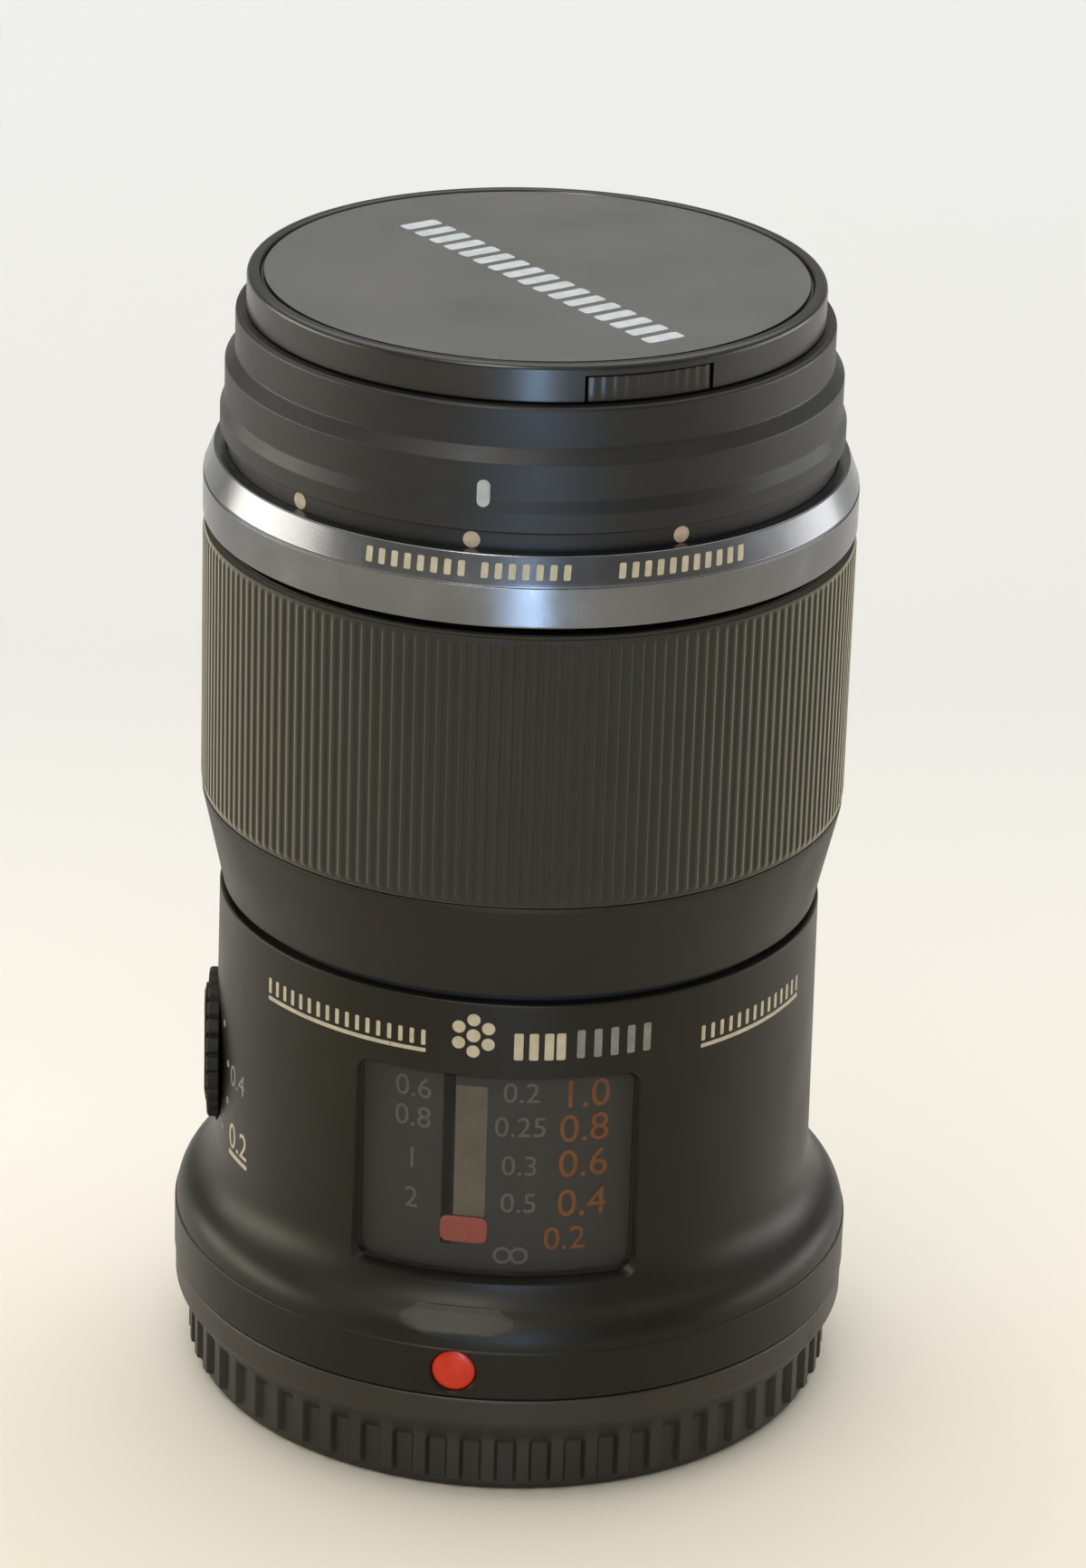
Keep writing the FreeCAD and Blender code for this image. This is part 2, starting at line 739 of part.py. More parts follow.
def rear_fittings():
    """Baffle, contact block and pins inside the mount's tube."""
    baffle_top = d.mount_z - d.baffle_setback
    baffle_foot = baffle_top - d.baffle_thickness
    disc = post("baffle_disc", d.throat_radius - d.seat_gap, baffle_foot, baffle_top)
    opening = doc.addObject("Part::Box", "baffle_opening")
    bind(opening, "Length", d.baffle_opening_width)
    bind(opening, "Width", d.baffle_opening_height)
    bind(opening, "Height", d.baffle_thickness * 3)
    place(opening, -d.baffle_opening_width / 2, -d.baffle_opening_height / 2,
          baffle_foot - d.baffle_thickness, 0)
    keep(carved("rear_baffle", disc, [opening]), "rear_baffle")
    block_foot = baffle_foot - d.contact_depth
    body = turned("contact_ring", ring(d.contact_inner_radius, d.throat_radius - d.seat_gap,
                                       block_foot, baffle_foot), d.contact_sweep, 180)
    holes = []
    pins = []
    spread = d.contact_sweep - d.contact_margin * 2
    pitch = spread / (d.contact_pin_count - 1)
    for index in range(int(d.contact_pin_count.value)):
        azimuth = 180 - spread / 2 + pitch * index
        holes.append(post(f"contact_hole_{index}", d.contact_pin_radius + d.seat_gap,
                          block_foot - 1, block_foot + d.contact_depth / 2 + d.seat_gap,
                          d.contact_pin_circle, azimuth))
        pins.append(post(f"contact_pin_{index}", d.contact_pin_radius,
                         block_foot - d.contact_pin_stand, block_foot + d.contact_depth / 2,
                         d.contact_pin_circle, azimuth))
    keep(carved("contact_block", body, holes), "contact_block")
    keep(group("contact_pins", pins), "contact_pins")


def index_land():
    """The tool that cuts the small flat land into the shoulder above the index bead."""
    land = doc.addObject("Part::Box", "index_land")
    bind(land, "Length", d.land_width)
    bind(land, "Width", d.land_length)
    bind(land, "Height", d.land_setback * 3)
    land.Placement.Rotation = FreeCAD.Rotation(FreeCAD.Vector(1, 0, 0), 90 - d.land_tilt.value)
    slope = sine(d.land_tilt)
    fall = cosine(d.land_tilt)
    near = d.flange_radius - d.land_setback
    bind(land, "Placement.Base.x", -d.land_width / 2)
    bind(land, "Placement.Base.y", fall * d.land_depth - near - slope * d.land_length / 2)
    bind(land, "Placement.Base.z", d.mount_z + d.land_height - slope * d.land_depth
         - fall * d.land_length / 2)
    return land


def main_barrel():
    """The casing: mount base, flare, tapered barrel, window opening and dial seat."""
    web_foot = d.mount_z + d.mount_plate_thickness
    web_top = web_foot + d.barrel_web
    seal_outer = d.mount_plate_radius + d.seat_gap * 2 + d.seal_width
    seal_top = d.mount_z + d.seal_thickness + d.seat_gap
    plate_side = d.mount_plate_radius + d.seat_gap
    flange_top = d.mount_z + d.flange_height
    body = turned("barrel_casting", [
        (d.barrel_web_bore, web_foot),
        (plate_side, web_foot),
        (plate_side, seal_top),
        (seal_outer, seal_top),
        (seal_outer, d.mount_z),
        (d.flange_radius - d.flange_edge, d.mount_z),
        (d.flange_radius, d.mount_z + d.flange_edge),
        (d.flange_radius, flange_top - d.flange_edge),
        (d.flange_radius - d.flange_edge / 2, flange_top),
        (d.flare_shoulder_radius, d.flare_shoulder_z, d.flare_outer_arc),
        (d.barrel_radius, d.flare_foot_z, -d.flare_inner_arc),
        (d.barrel_top_radius, d.barrel_top_z),
        (d.barrel_bore, d.barrel_top_z),
        (d.barrel_bore, web_top),
        (d.barrel_web_bore, web_top),
    ])
    revolve(body, "window_opening",
            ring(d.barrel_bore - 1, d.flange_radius, d.window_low_z, d.window_high_z),
            d.window_sweep, d.window_azimuth, "Groove")
    dial_floor = d.dial_face_distance - d.dial_thickness - d.air_gap / 3
    tools = [
        stud("dial_seat", d.dial_radius + d.dial_seat_clearance, dial_floor,
             d.flange_radius + 1, d.dial_azimuth, d.dial_z),
        stud("dial_bore", d.dial_shaft_radius + d.run_gap, d.chassis_radius,
             d.flange_radius + 1, d.dial_azimuth, d.dial_z),
        stud("bead_hole", d.bead_radius + d.seat_gap, d.flange_radius - d.bead_seat,
             d.flange_radius + 1, 0, d.bead_z),
    ]
    for index in range(int(d.mount_screw_count.value)):
        azimuth = mount_ring_azimuth(index, d.mount_screw_count, 45)
        tools.append(post(f"barrel_screw_hole_{index}", d.mount_screw_radius + d.seat_gap,
                          web_foot - 1, web_top + 1, d.mount_screw_circle, azimuth))
    tools.append(index_land())
    keep(carved("main_barrel", body, tools), "main_barrel")


def index_bead():
    """The round index bead, domed, in its hole in the mount base."""
    foot = d.flange_radius - d.bead_seat + d.seat_gap
    body = doc.addObject("PartDesign::Body", "index_bead")
    height = d.flange_radius - foot
    dome_radius = (d.bead_radius * d.bead_radius + d.bead_dome * d.bead_dome) / (d.bead_dome * 2)
    revolve(body, "bead_turn", [
        (0, 0),
        (d.bead_radius, 0),
        (d.bead_radius, height - d.bead_dome),
        (0, height, dome_radius),
    ])
    outwards = FreeCAD.Vector(0, -1, 0)
    body.Placement = FreeCAD.Placement(outwards * foot.value + UP * d.bead_z.value,
                                       FreeCAD.Rotation(UP, outwards))
    keep(body, "index_bead")


def distance_window():
    """The clear pane, and the scale plate under it with the marker's slot."""
    pane_outer = d.barrel_radius - d.pane_recess
    gap = d.seat_gap
    pane = ring(pane_outer - d.pane_thickness, pane_outer, d.window_low_z + gap,
                d.window_high_z - gap)
    keep(turned("scale_window", pane, d.window_sweep - gap * 5, d.window_azimuth), "scale_window")
    plate_outer = d.plate_inner_radius + d.plate_thickness
    plate = turned("scale_sheet", ring(d.plate_inner_radius, plate_outer,
                                       d.window_low_z - d.plate_margin,
                                       d.window_high_z + d.plate_margin),
                   d.plate_sweep, d.window_azimuth)
    slot = block("scale_slot", d.arm_width + d.slot_clearance * 2, d.plate_inner_radius - 1,
                 plate_outer + 1, d.slot_low_z, d.slot_high_z, d.arm_azimuth)
    keep(carved("scale_plate", plate, [slot]), "scale_plate")


def limiter_dial():
    """The four-position dial, its inner clip and the switch that it turns."""
    face = d.dial_face_distance
    knob_foot = face - d.dial_thickness
    knob = stud("dial_knob", d.dial_radius, knob_foot, face - d.dial_grip_height,
                d.dial_azimuth, d.dial_z)
    shaft = stud("dial_shaft", d.dial_shaft_radius, d.switch_distance + d.switch_thickness
                 + d.run_gap, knob_foot + d.dial_thickness / 2, d.dial_azimuth, d.dial_z)
    grip = block("dial_grip", d.dial_grip_width, knob_foot + d.dial_thickness / 2, face,
                 d.dial_z - d.dial_radius * 0.86, d.dial_z + d.dial_radius * 0.86, d.dial_azimuth)
    notches = []
    for index in range(int(d.dial_notch_count.value)):
        angle = 360.0 / d.dial_notch_count.value * index
        z = d.dial_z + d.dial_radius * sine(angle)
        side = d.dial_radius * cosine(angle)
        notch = doc.addObject("Part::Cylinder", f"dial_notch_{index}")
        bind(notch, "Radius", d.dial_notch_radius)
        bind(notch, "Height", d.dial_thickness * 2)
        turn = math.radians(d.dial_azimuth.value)
        outwards = FreeCAD.Vector(math.sin(turn), -math.cos(turn), 0)
        notch.Placement = FreeCAD.Placement(FreeCAD.Vector(), FreeCAD.Rotation(UP, outwards))
        near = knob_foot - d.dial_thickness / 2
        bind(notch, "Placement.Base.x", near * sine(d.dial_azimuth) + side * cosine(d.dial_azimuth))
        bind(notch, "Placement.Base.y", side * sine(d.dial_azimuth) - near * cosine(d.dial_azimuth))
        bind(notch, "Placement.Base.z", z)
        notches.append(notch)
    whole = joined("dial_blank", [knob, shaft, grip])
    keep(carved("limiter_dial", whole, notches), "limiter_dial")
    clip_inner = d.dial_clip_distance - d.dial_clip_thickness
    clip = stud("dial_clip_disc", d.dial_clip_radius, clip_inner, d.dial_clip_distance,
                d.dial_azimuth, d.dial_z)
    clip_bore = stud("dial_clip_bore", d.dial_shaft_radius + d.seat_gap, clip_inner - 1,
                     d.dial_clip_distance + 1, d.dial_azimuth, d.dial_z)
    keep(carved("dial_clip", clip, [clip_bore]), "dial_clip")
    switch = block("limit_switch", d.switch_width, d.switch_distance,
                   d.switch_distance + d.switch_thickness,
                   d.dial_z - d.switch_height / 2, d.dial_z + d.switch_height / 2, d.dial_azimuth)
    keep(switch, "limit_switch")


def inner_barrel():
    """The chassis tube inside the casing: it carries the focus ring and the front group."""
    collar_foot = d.collar_z
    body = turned("chassis_turning", [
        (d.chassis_bore, d.chassis_foot_z),
        (d.chassis_radius, d.chassis_foot_z),
        (d.chassis_radius, collar_foot),
        (d.bearing_radius, collar_foot),
        (d.bearing_radius, d.bearing_top_z),
        (d.head_radius, d.bearing_top_z),
        (d.head_radius, d.head_top_z),
        (d.head_bore, d.head_top_z),
        (d.head_bore, d.bearing_top_z + d.head_floor),
        (d.chassis_bore, d.bearing_top_z + d.head_floor),
    ])
    arm_slot = block("arm_slot", d.arm_width + d.air_gap * 4, d.chassis_bore - 2,
                     d.chassis_radius + 0.2, d.arm_z - d.air_gap * 2,
                     d.arm_z + d.arm_height + d.focus_travel + d.air_gap * 2, d.arm_azimuth)
    dial_hole = stud("chassis_dial_hole", d.dial_shaft_radius + d.air_gap, d.chassis_bore - 2,
                     d.chassis_radius + 1, d.dial_azimuth, d.dial_z)
    keep(carved("inner_barrel", body, [arm_slot, dial_hole]), "inner_barrel")


def focus_ring():
    """The moulded core with its tapered skirt, and the ribbed rubber grip on it."""
    core_bore = d.bearing_radius + d.run_gap
    lip_top = d.focus_cone_top_z + d.focus_lip
    keep(turned("focus_ring_core", [
        (core_bore, d.focus_core_foot_z),
        (d.focus_core_foot_radius, d.focus_core_foot_z),
        (d.focus_core_lip_radius, d.focus_cone_top_z),
        (d.focus_core_lip_radius, lip_top),
        (d.focus_core_seat_radius, lip_top),
        (d.focus_core_seat_radius, d.focus_core_top_z),
        (core_bore, d.focus_core_top_z),
    ]), "focus_ring_core")
    count = int(d.grip_rib_count.value)
    teeth = toothed_disc(d.grip_radius.value - d.grip_rib_height.value, d.grip_radius.value,
                         count, 0.4, 0.62)
    bore = d.focus_core_seat_radius.value + d.seat_gap.value
    band = teeth.cut(Part.Face(Part.Wire(Part.makeCircle(bore))))
    foot = lip_top.value + d.seat_gap.value
    top = d.focus_core_top_z.value - d.grip_top_margin.value
    keep(made("focus_grip", extruded(band, foot, top - foot)), "focus_grip")


def name_ring():
    """The silver ring in two bands, the upper one sloping in."""
    bore = d.head_radius + d.seat_gap
    keep(turned("name_ring", [
        (bore, d.name_ring_foot_z),
        (d.name_ring_radius, d.name_ring_foot_z),
        (d.name_ring_radius, d.name_ring_step_z),
        (d.name_ring_top_radius, d.name_ring_top_z),
        (bore, d.name_ring_top_z),
    ]), "name_ring")


def front_barrel():
    """The stepped black barrel, with the bore of the filter thread in its mouth."""
    spigot_radius = d.head_bore - d.seat_gap
    foot = d.head_top_z + d.seat_gap
    bore_floor = d.front_rim_z - d.filter_depth
    keep(turned("front_barrel", [
        (d.front_bore, d.front_spigot_foot_z),
        (spigot_radius, d.front_spigot_foot_z),
        (spigot_radius, foot),
        (d.front_groove_radius, foot),
        (d.front_groove_radius, d.front_groove_top_z),
        (d.front_lower_radius, d.front_groove_top_z + 0.2),
        (d.front_lower_radius, d.front_lower_top_z),
        (d.front_middle_radius, d.front_middle_foot_z),
        (d.front_middle_radius, d.front_middle_top_z),
        (d.front_upper_radius, d.front_upper_foot_z),
        (d.front_upper_radius, d.front_rim_z - d.front_rim_edge),
        (d.front_upper_radius - d.front_rim_edge, d.front_rim_z),
        (d.filter_bore, d.front_rim_z),
        (d.filter_bore, bore_floor),
        (d.front_bore, bore_floor),
    ]), "front_barrel")


def front_trim_ring():
    """The black dished ring between the filter thread and the front glass."""
    top = d.front_rim_z - d.filter_depth
    outer = d.front_bore - d.seat_gap
    keep(turned("front_trim_ring", [
        (d.trim_bore, top - d.trim_drop - d.trim_thickness),
        (outer, top - d.trim_thickness),
        (outer, top),
        (d.trim_shelf_radius, top),
        (d.trim_bore, top - d.trim_drop),
    ]), "front_trim_ring")


def sag(curvature, radius):
    """How far a spherical surface falls back between its vertex and a radius."""
    fall = root(curvature * curvature - radius * radius)
    return curvature - fall if curvature.value > 0 else curvature + fall


def glass_sizes(name):
    """A glass's own sizes, with the heights of its back vertex and of its two edges."""
    sizes = SimpleNamespace(**{field: getattr(d, f"{name}_{field}") for field in GLASS_FIELDS})
    sizes.back = sizes.front - sizes.thickness
    sizes.front_edge = sizes.front - sag(sizes.front_curve, sizes.radius)
    sizes.back_edge = sizes.back - sag(sizes.back_curve, sizes.radius)
    return sizes


def glass(name):
    """One lens element, turned from its two spherical surfaces and its ground edge."""
    size = glass_sizes(name)
    return turned(name, [
        (0, size.back),
        (size.radius, size.back_edge, -size.back_curve),
        (size.radius, size.front_edge),
        (0, size.front, size.front_curve),
    ])


def glasses():
    """The thirteen elements; the three cemented pairs are groups of two."""
    cemented = {name for pair in CEMENTED for name in pair}
    for name in GLASSES:
        if name not in cemented:
            keep(glass(name), name)
    for front, back in CEMENTED:
        label = f"{front}_{back[-2:]}"
        keep(group(label, [glass(front), glass(back)]), label)


def cell_bore(names, foot, top):
    """A cell's bore from its foot to its top: a seat for each glass, with lands between.

    A land ends where the glass beyond it bulges through, and where two glasses lie too
    close together for a land, the bore only steps out to the wider one.
    """
    stack = [glass_sizes(name) for name in names]
    land = stack[0].radius - d.cell_land
    points = [(land, foot)]
    for index, size in enumerate(stack):
        seat_radius = size.radius + d.seat_gap
        if index == 0:
            seat_foot = seat_end(size.back_edge, size.back, size.back_curve, land, min) - d.seat_gap
            points += [(land, seat_foot), (seat_radius, seat_foot)]
            continue
        below = stack[index - 1]
        below_radius = below.radius + d.seat_gap
        land = min(size.radius, below.radius, key=lambda item: item.value) - d.cell_land
        low = seat_end(below.front_edge, below.front, below.front_curve, land, max) + d.seat_gap
        high = seat_end(size.back_edge, size.back, size.back_curve, land, min) - d.seat_gap
        if high.value > low.value + d.cell_land_height.value:
            points += [(below_radius, low), (land, low), (land, high), (seat_radius, high)]
        elif size.radius.value != below.radius.value:
            points += [(below_radius, high), (seat_radius, high)]
    points.append((stack[-1].radius + d.seat_gap, top))
    return points


def seat_end(edge, vertex, curvature, land, choose):
    """Where a land may reach on one side of a glass: its edge, or its surface at the land."""
    return choose(edge, vertex - sag(curvature, land), key=lambda item: item.value)


def cell_tube(name, names, outer, foot, top, flange=None):
    """A turned cell; a flange is given as its radius, foot and top."""
    outside = [(outer, top), (outer, foot)]
    if flange:
        reach, low, high = flange
        outside = [(outer, top), (outer, high), (reach, high), (reach, low), (outer, low),
                   (outer, foot)]
    return turned(name, outside + cell_bore(names, foot, top))


def fixed_cells():
    """The front cell hangs from its flange, and the rear cell stands on the barrel's web."""
    flange_foot = d.bearing_top_z + d.head_floor + d.seat_gap
    keep(cell_tube("front_cell", ["lens_04", "lens_03", "lens_02", "lens_01"],
                   d.front_cell_radius, d.front_cell_foot_z, d.front_cell_top_z,
                   (d.head_bore - d.seat_gap, flange_foot, d.front_spigot_foot_z - d.seat_gap)),
         "front_cell")
    web_top = d.mount_z + d.mount_plate_thickness + d.barrel_web
    flange_foot = web_top + d.seat_gap
    keep(cell_tube("rear_cell", ["lens_13", "lens_12", "lens_11"], d.rear_cell_radius,
                   d.rear_cell_foot_z, d.rear_cell_top_z,
                   (d.rear_flange_radius, flange_foot, flange_foot + d.rear_flange)),
         "rear_cell")


def carriage_ears(name, tube_outer, foot, top, sleeve_azimuth, fork_azimuth, nut_azimuth):
    """What a carriage has round its tube: a rod sleeve, a rod fork and a lead nut."""
    inside = tube_outer - d.carriage_wall / 2
    rod_bore = d.rod_radius + d.run_gap
    nut_bore = d.screw_radius + d.run_gap
    nut_top = foot + d.nut_height
    solids = [
        post(name + "_sleeve", rod_bore + d.sleeve_wall, foot, top, d.rod_circle, sleeve_azimuth),
        block(name + "_sleeve_web", d.ear_width, inside, d.rod_circle, foot, top, sleeve_azimuth),
        block(name + "_fork", (rod_bore + d.sleeve_wall) * 2, inside, d.rod_circle + d.rod_radius,
              foot, nut_top, fork_azimuth),
        post(name + "_nut", nut_bore + d.sleeve_wall, foot, nut_top, d.screw_circle, nut_azimuth),
        block(name + "_nut_web", d.ear_width, inside, d.screw_circle, foot, nut_top, nut_azimuth),
    ]
    holes = [
        post(name + "_rod_hole", rod_bore, foot - 1, top + 1, d.rod_circle, sleeve_azimuth),
        block(name + "_fork_slot", rod_bore * 2, d.rod_circle - rod_bore,
              d.rod_circle + d.rod_radius * 3, foot - 1, nut_top + 1, fork_azimuth),
        post(name + "_nut_hole", nut_bore, foot - 1, nut_top + 1, d.screw_circle, nut_azimuth),
    ]
    return solids, holes


def focus_carriage():
    """The moving cell behind the iris, with the arm that carries the distance marker."""
    foot = d.carriage_foot_z
    top = foot + d.carriage_height
    outer = d.lens_08_radius + d.carriage_wall
    tube = cell_tube("focus_tube", ["lens_10", "lens_09", "lens_08"], outer, foot, top)
    solids, holes = carriage_ears("focus", outer, foot, top, d.rod_azimuth, d.rod_azimuth + 180,
                                  d.rear_motor_azimuth)
    arm_back = d.arm_distance + d.arm_thickness
    rib_top = foot + d.nut_height
    finger_end = d.marker_distance - d.seat_gap * 2
    solids += [
        block("arm_rib", d.arm_width, outer - d.carriage_wall / 2, arm_back, foot, rib_top,
              d.arm_azimuth),
        block("arm_drop", d.arm_width, d.arm_distance, arm_back, d.arm_z, rib_top,
              d.arm_azimuth),
        block("arm_finger", d.arm_width, d.arm_distance, finger_end, d.arm_z,
              d.arm_z + d.arm_height, d.arm_azimuth),
    ]
    keep(carved("focus_carriage", joined("focus_blank", [tube] + solids), holes), "focus_carriage")
    middle = d.arm_z + d.arm_height / 2
    keep(block("distance_marker", d.marker_width, d.marker_distance,
               d.marker_distance + d.marker_thickness, middle - d.marker_height / 2,
               middle + d.marker_height / 2, d.marker_azimuth), "distance_marker")


def float_carriage():
    """The moving cell in front of the iris."""
    foot = d.float_foot_z
    top = foot + d.float_height
    outer = d.lens_05_radius + d.carriage_wall
    tube = cell_tube("float_tube", ["lens_07", "lens_06", "lens_05"], outer, foot, top)
    solids, holes = carriage_ears("float", outer, foot, top, d.rod_azimuth + 180, d.rod_azimuth,
                                  d.front_motor_azimuth)
    keep(carved("float_carriage", joined("float_blank", [tube] + solids), holes), "float_carriage")


def guide_rods():
    foot = d.mount_z + d.mount_plate_thickness + d.barrel_web + d.seat_gap
    top = d.bearing_top_z + d.head_floor
    rods = [post(f"guide_rod_{index}", d.rod_radius, foot, top, d.rod_circle,
                 d.rod_azimuth + 180 * index) for index in range(2)]
    keep(group("guide_rods", rods), "guide_rods")


def focus_motor(label, screw_label, can_z, screw_top, azimuth):
    """A stepping motor in a U-shaped bracket, with its lead screw."""
    can_top = can_z + d.motor_length
    spine_far = d.chassis_bore - d.air_gap
    spine_near = spine_far - d.bracket_thickness
    plate_near = d.screw_circle - d.bracket_thickness * 3
    blank = joined(label + "_blank", [
        post(label + "_can", d.motor_radius, can_z, can_top, d.screw_circle, azimuth),
        block(label + "_foot", d.bracket_width, plate_near, spine_far, can_top,
              can_top + d.bracket_thickness, azimuth),
        block(label + "_spine", d.bracket_width, spine_near, spine_far, can_top,
              screw_top + d.bracket_thickness, azimuth),
        block(label + "_top", d.bracket_width, plate_near, spine_far,
              screw_top, screw_top + d.bracket_thickness, azimuth),
    ])
    screw_foot = can_top - d.motor_length / 3
    bore = post(label + "_bore", d.screw_radius + d.run_gap, screw_foot - d.air_gap,
                can_top + d.bracket_thickness * 2, d.screw_circle, azimuth)
    keep(carved(label, blank, [bore]), label)
    keep(post(screw_label, d.screw_radius, screw_foot, screw_top - d.run_gap,
              d.screw_circle, azimuth), screw_label)


def standard_angle(azimuth):
    """An azimuth as an angle from +X in radians."""
    return math.radians(azimuth - 90)


def polar_point(radius, angle):
    return FreeCAD.Vector(radius * math.cos(angle), radius * math.sin(angle), 0)


def arc_edge(radius, start, end, centre=FreeCAD.Vector()):
    """An arc about a centre, through its middle, whichever way it runs."""
    points = [centre + polar_point(radius, angle) for angle in (start, (start + end) / 2, end)]
    return Part.Arc(*points).toShape()


def line_edge(start, end):
    return Part.LineSegment(start, end).toShape()


def blade_shape(low_z):
    """One iris blade at azimuth zero: a flat crescent with a pivot pin and a drive pin.

    The crescent lies between two arcs about the lens axis. Its root reaches out to both
    pins: the pivot goes down into the base, and the drive pin up into the drive ring.
    """
    inner = SIZES["blade_inner_radius"]
    outer = SIZES["blade_outer_radius"]
    reach = SIZES["blade_root_outer_radius"]
    start, root_end, end = (math.radians(SIZES[key]) for key in
                            ("blade_start", "blade_root_end", "blade_end"))
    wire = Part.Wire([
        line_edge(polar_point(inner, start), polar_point(reach, start)),
        arc_edge(reach, start, root_end),
        line_edge(polar_point(reach, root_end), polar_point(outer, root_end)),
        arc_edge(outer, root_end, end),
        line_edge(polar_point(outer, end), polar_point(inner, end)),
        arc_edge(inner, end, start),
    ])
    thickness = SIZES["blade_thickness"]
    leaf = extruded(Part.Face(wire), low_z, thickness)
    pivot_foot = SIZES["iris_z"] + SIZES["run_gap"]
    drive_top = drive_ring_foot() + SIZES["drive_ring_thickness"] - SIZES["run_gap"]
    pivot = Part.makeCylinder(SIZES["blade_pin_radius"], low_z + thickness / 2 - pivot_foot,
                              polar_point(SIZES["blade_pivot_circle"], 0) + UP * pivot_foot)
    drive_angle = math.radians(SIZES["blade_drive_azimuth"])
    drive = Part.makeCylinder(SIZES["blade_pin_radius"], drive_top - low_z - thickness / 2,
                              polar_point(SIZES["blade_drive_circle"], drive_angle)
                              + UP * (low_z + thickness / 2))
    return leaf.fuse([pivot, drive])


def blade_foot(index):
    """Each blade lies one pitch over the one before it."""
    base_top = SIZES["iris_z"] + SIZES["iris_base_thickness"]
    return base_top + SIZES["blade_pitch"] * (index + 0.5)


def drive_ring_foot():
    top_blade = blade_foot(SIZES["blade_count"] - 1) + SIZES["blade_thickness"]
    return top_blade + SIZES["drive_ring_gap"]


def cam_slot(angle):
    """The slot that a blade's drive pin follows in the drive ring.

    Blade and ring turn by the same angle. Seen from the ring, the pivot then runs round the
    lens axis and the drive pin keeps its offset from the pivot, so the slot's middle is an
    arc of the pivot circle's radius about a centre at that offset.
    """
    pivot = polar_point(SIZES["blade_pivot_circle"], angle)
    drive = polar_point(SIZES["blade_drive_circle"],
                        angle + math.radians(SIZES["blade_drive_azimuth"]))
    centre = drive - pivot
    half = SIZES["blade_pin_radius"] + SIZES["run_gap"]
    far = SIZES["blade_pivot_circle"] + half
    near = SIZES["blade_pivot_circle"] - half
    spare = half / SIZES["blade_pivot_circle"] / 2
    start = angle + spare
    end = angle - math.radians(SIZES["blade_turn"]) - spare
    round_start = (far + near) / 2
    cap_start = Part.Arc(centre + polar_point(far, start),
                         centre + polar_point(round_start, start + half / round_start),
                         centre + polar_point(near, start)).toShape()
    cap_end = Part.Arc(centre + polar_point(near, end),
                       centre + polar_point(round_start, end - half / round_start),
                       centre + polar_point(far, end)).toShape()
    wire = Part.Wire([arc_edge(far, end, start, centre), cap_start,
                      arc_edge(near, start, end, centre), cap_end])
    return Part.Face(wire)


def gear_tooth(root_radius, tip_radius, angle, pitch):
    """A straight-sided tooth centred on an angle."""
    half_tip = pitch * SIZES["tooth_share"] / 4
    half_root = pitch * SIZES["tooth_share"] / 1.6
    return polygon_face([polar_point(root_radius, angle - half_root),
                         polar_point(tip_radius, angle - half_tip),
                         polar_point(tip_radius, angle + half_tip),
                         polar_point(root_radius, angle + half_root)])


def iris():
    """Base, seven blades, cam drive ring, cover, and the motor that drives the ring."""
    base_top = d.iris_z + d.iris_base_thickness
    wall_top = base_top + d.iris_wall_height
    wall_inner = d.iris_wall_radius - d.iris_wall
    body = turned("iris_casting", [
        (d.iris_opening, d.iris_z),
        (d.iris_base_radius, d.iris_z),
        (d.iris_base_radius, base_top),
        (d.iris_wall_radius, base_top),
        (d.iris_wall_radius, wall_top),
        (wall_inner, wall_top),
        (wall_inner, base_top),
        (d.iris_opening, base_top),
    ])
    pinion_circle = d.gear_module * (d.ring_teeth + d.pinion_teeth) / 2
    tools = [
        post("iris_rod_hole_0", d.rod_radius + d.seat_gap, d.iris_z - 1, base_top + 1,
             d.rod_circle, d.rod_azimuth),
        post("iris_rod_hole_1", d.rod_radius + d.seat_gap, d.iris_z - 1, base_top + 1,
             d.rod_circle, d.rod_azimuth + 180),
        block("iris_screw_notch", d.bracket_width + d.air_gap * 2,
              d.screw_circle - d.screw_radius - d.air_gap, d.chassis_bore + 1,
              d.iris_z - 1, base_top + 1, d.front_motor_azimuth),
        post("iris_pinion_hole", d.blade_pin_radius + d.run_gap, d.iris_z - 1, base_top + 1,
             pinion_circle, d.pinion_azimuth),
        block("iris_pinion_gap", d.pinion_teeth * d.gear_module * 1.8, wall_inner - 1,
              d.iris_wall_radius + 1, base_top + 0.05, wall_top + 1, d.pinion_azimuth),
    ]
    count = int(SIZES["blade_count"])
    for index in range(count):
        azimuth = 90 + 360.0 / count * index
        tools.append(post(f"iris_pivot_hole_{index}", d.blade_pin_radius + d.run_gap,
                          d.iris_z - 1, base_top + 1, d.blade_pivot_circle, azimuth))
    keep(carved("iris_base", body, tools), "iris_base")
    for index in range(count):
        shape = blade_shape(blade_foot(index))
        shape.rotate(FreeCAD.Vector(), UP, 360.0 / count * index)
        keep(made(f"iris_blade_{index + 1}", shape), f"iris_blade_{index + 1}")
    cover = turned("iris_cover", ring(d.iris_opening + d.air_gap, d.iris_wall_radius, wall_top,
                                      wall_top + d.iris_cover_thickness))
    keep(cover, "iris_cover")
    drive_ring(count)
    iris_motor(pinion_circle)


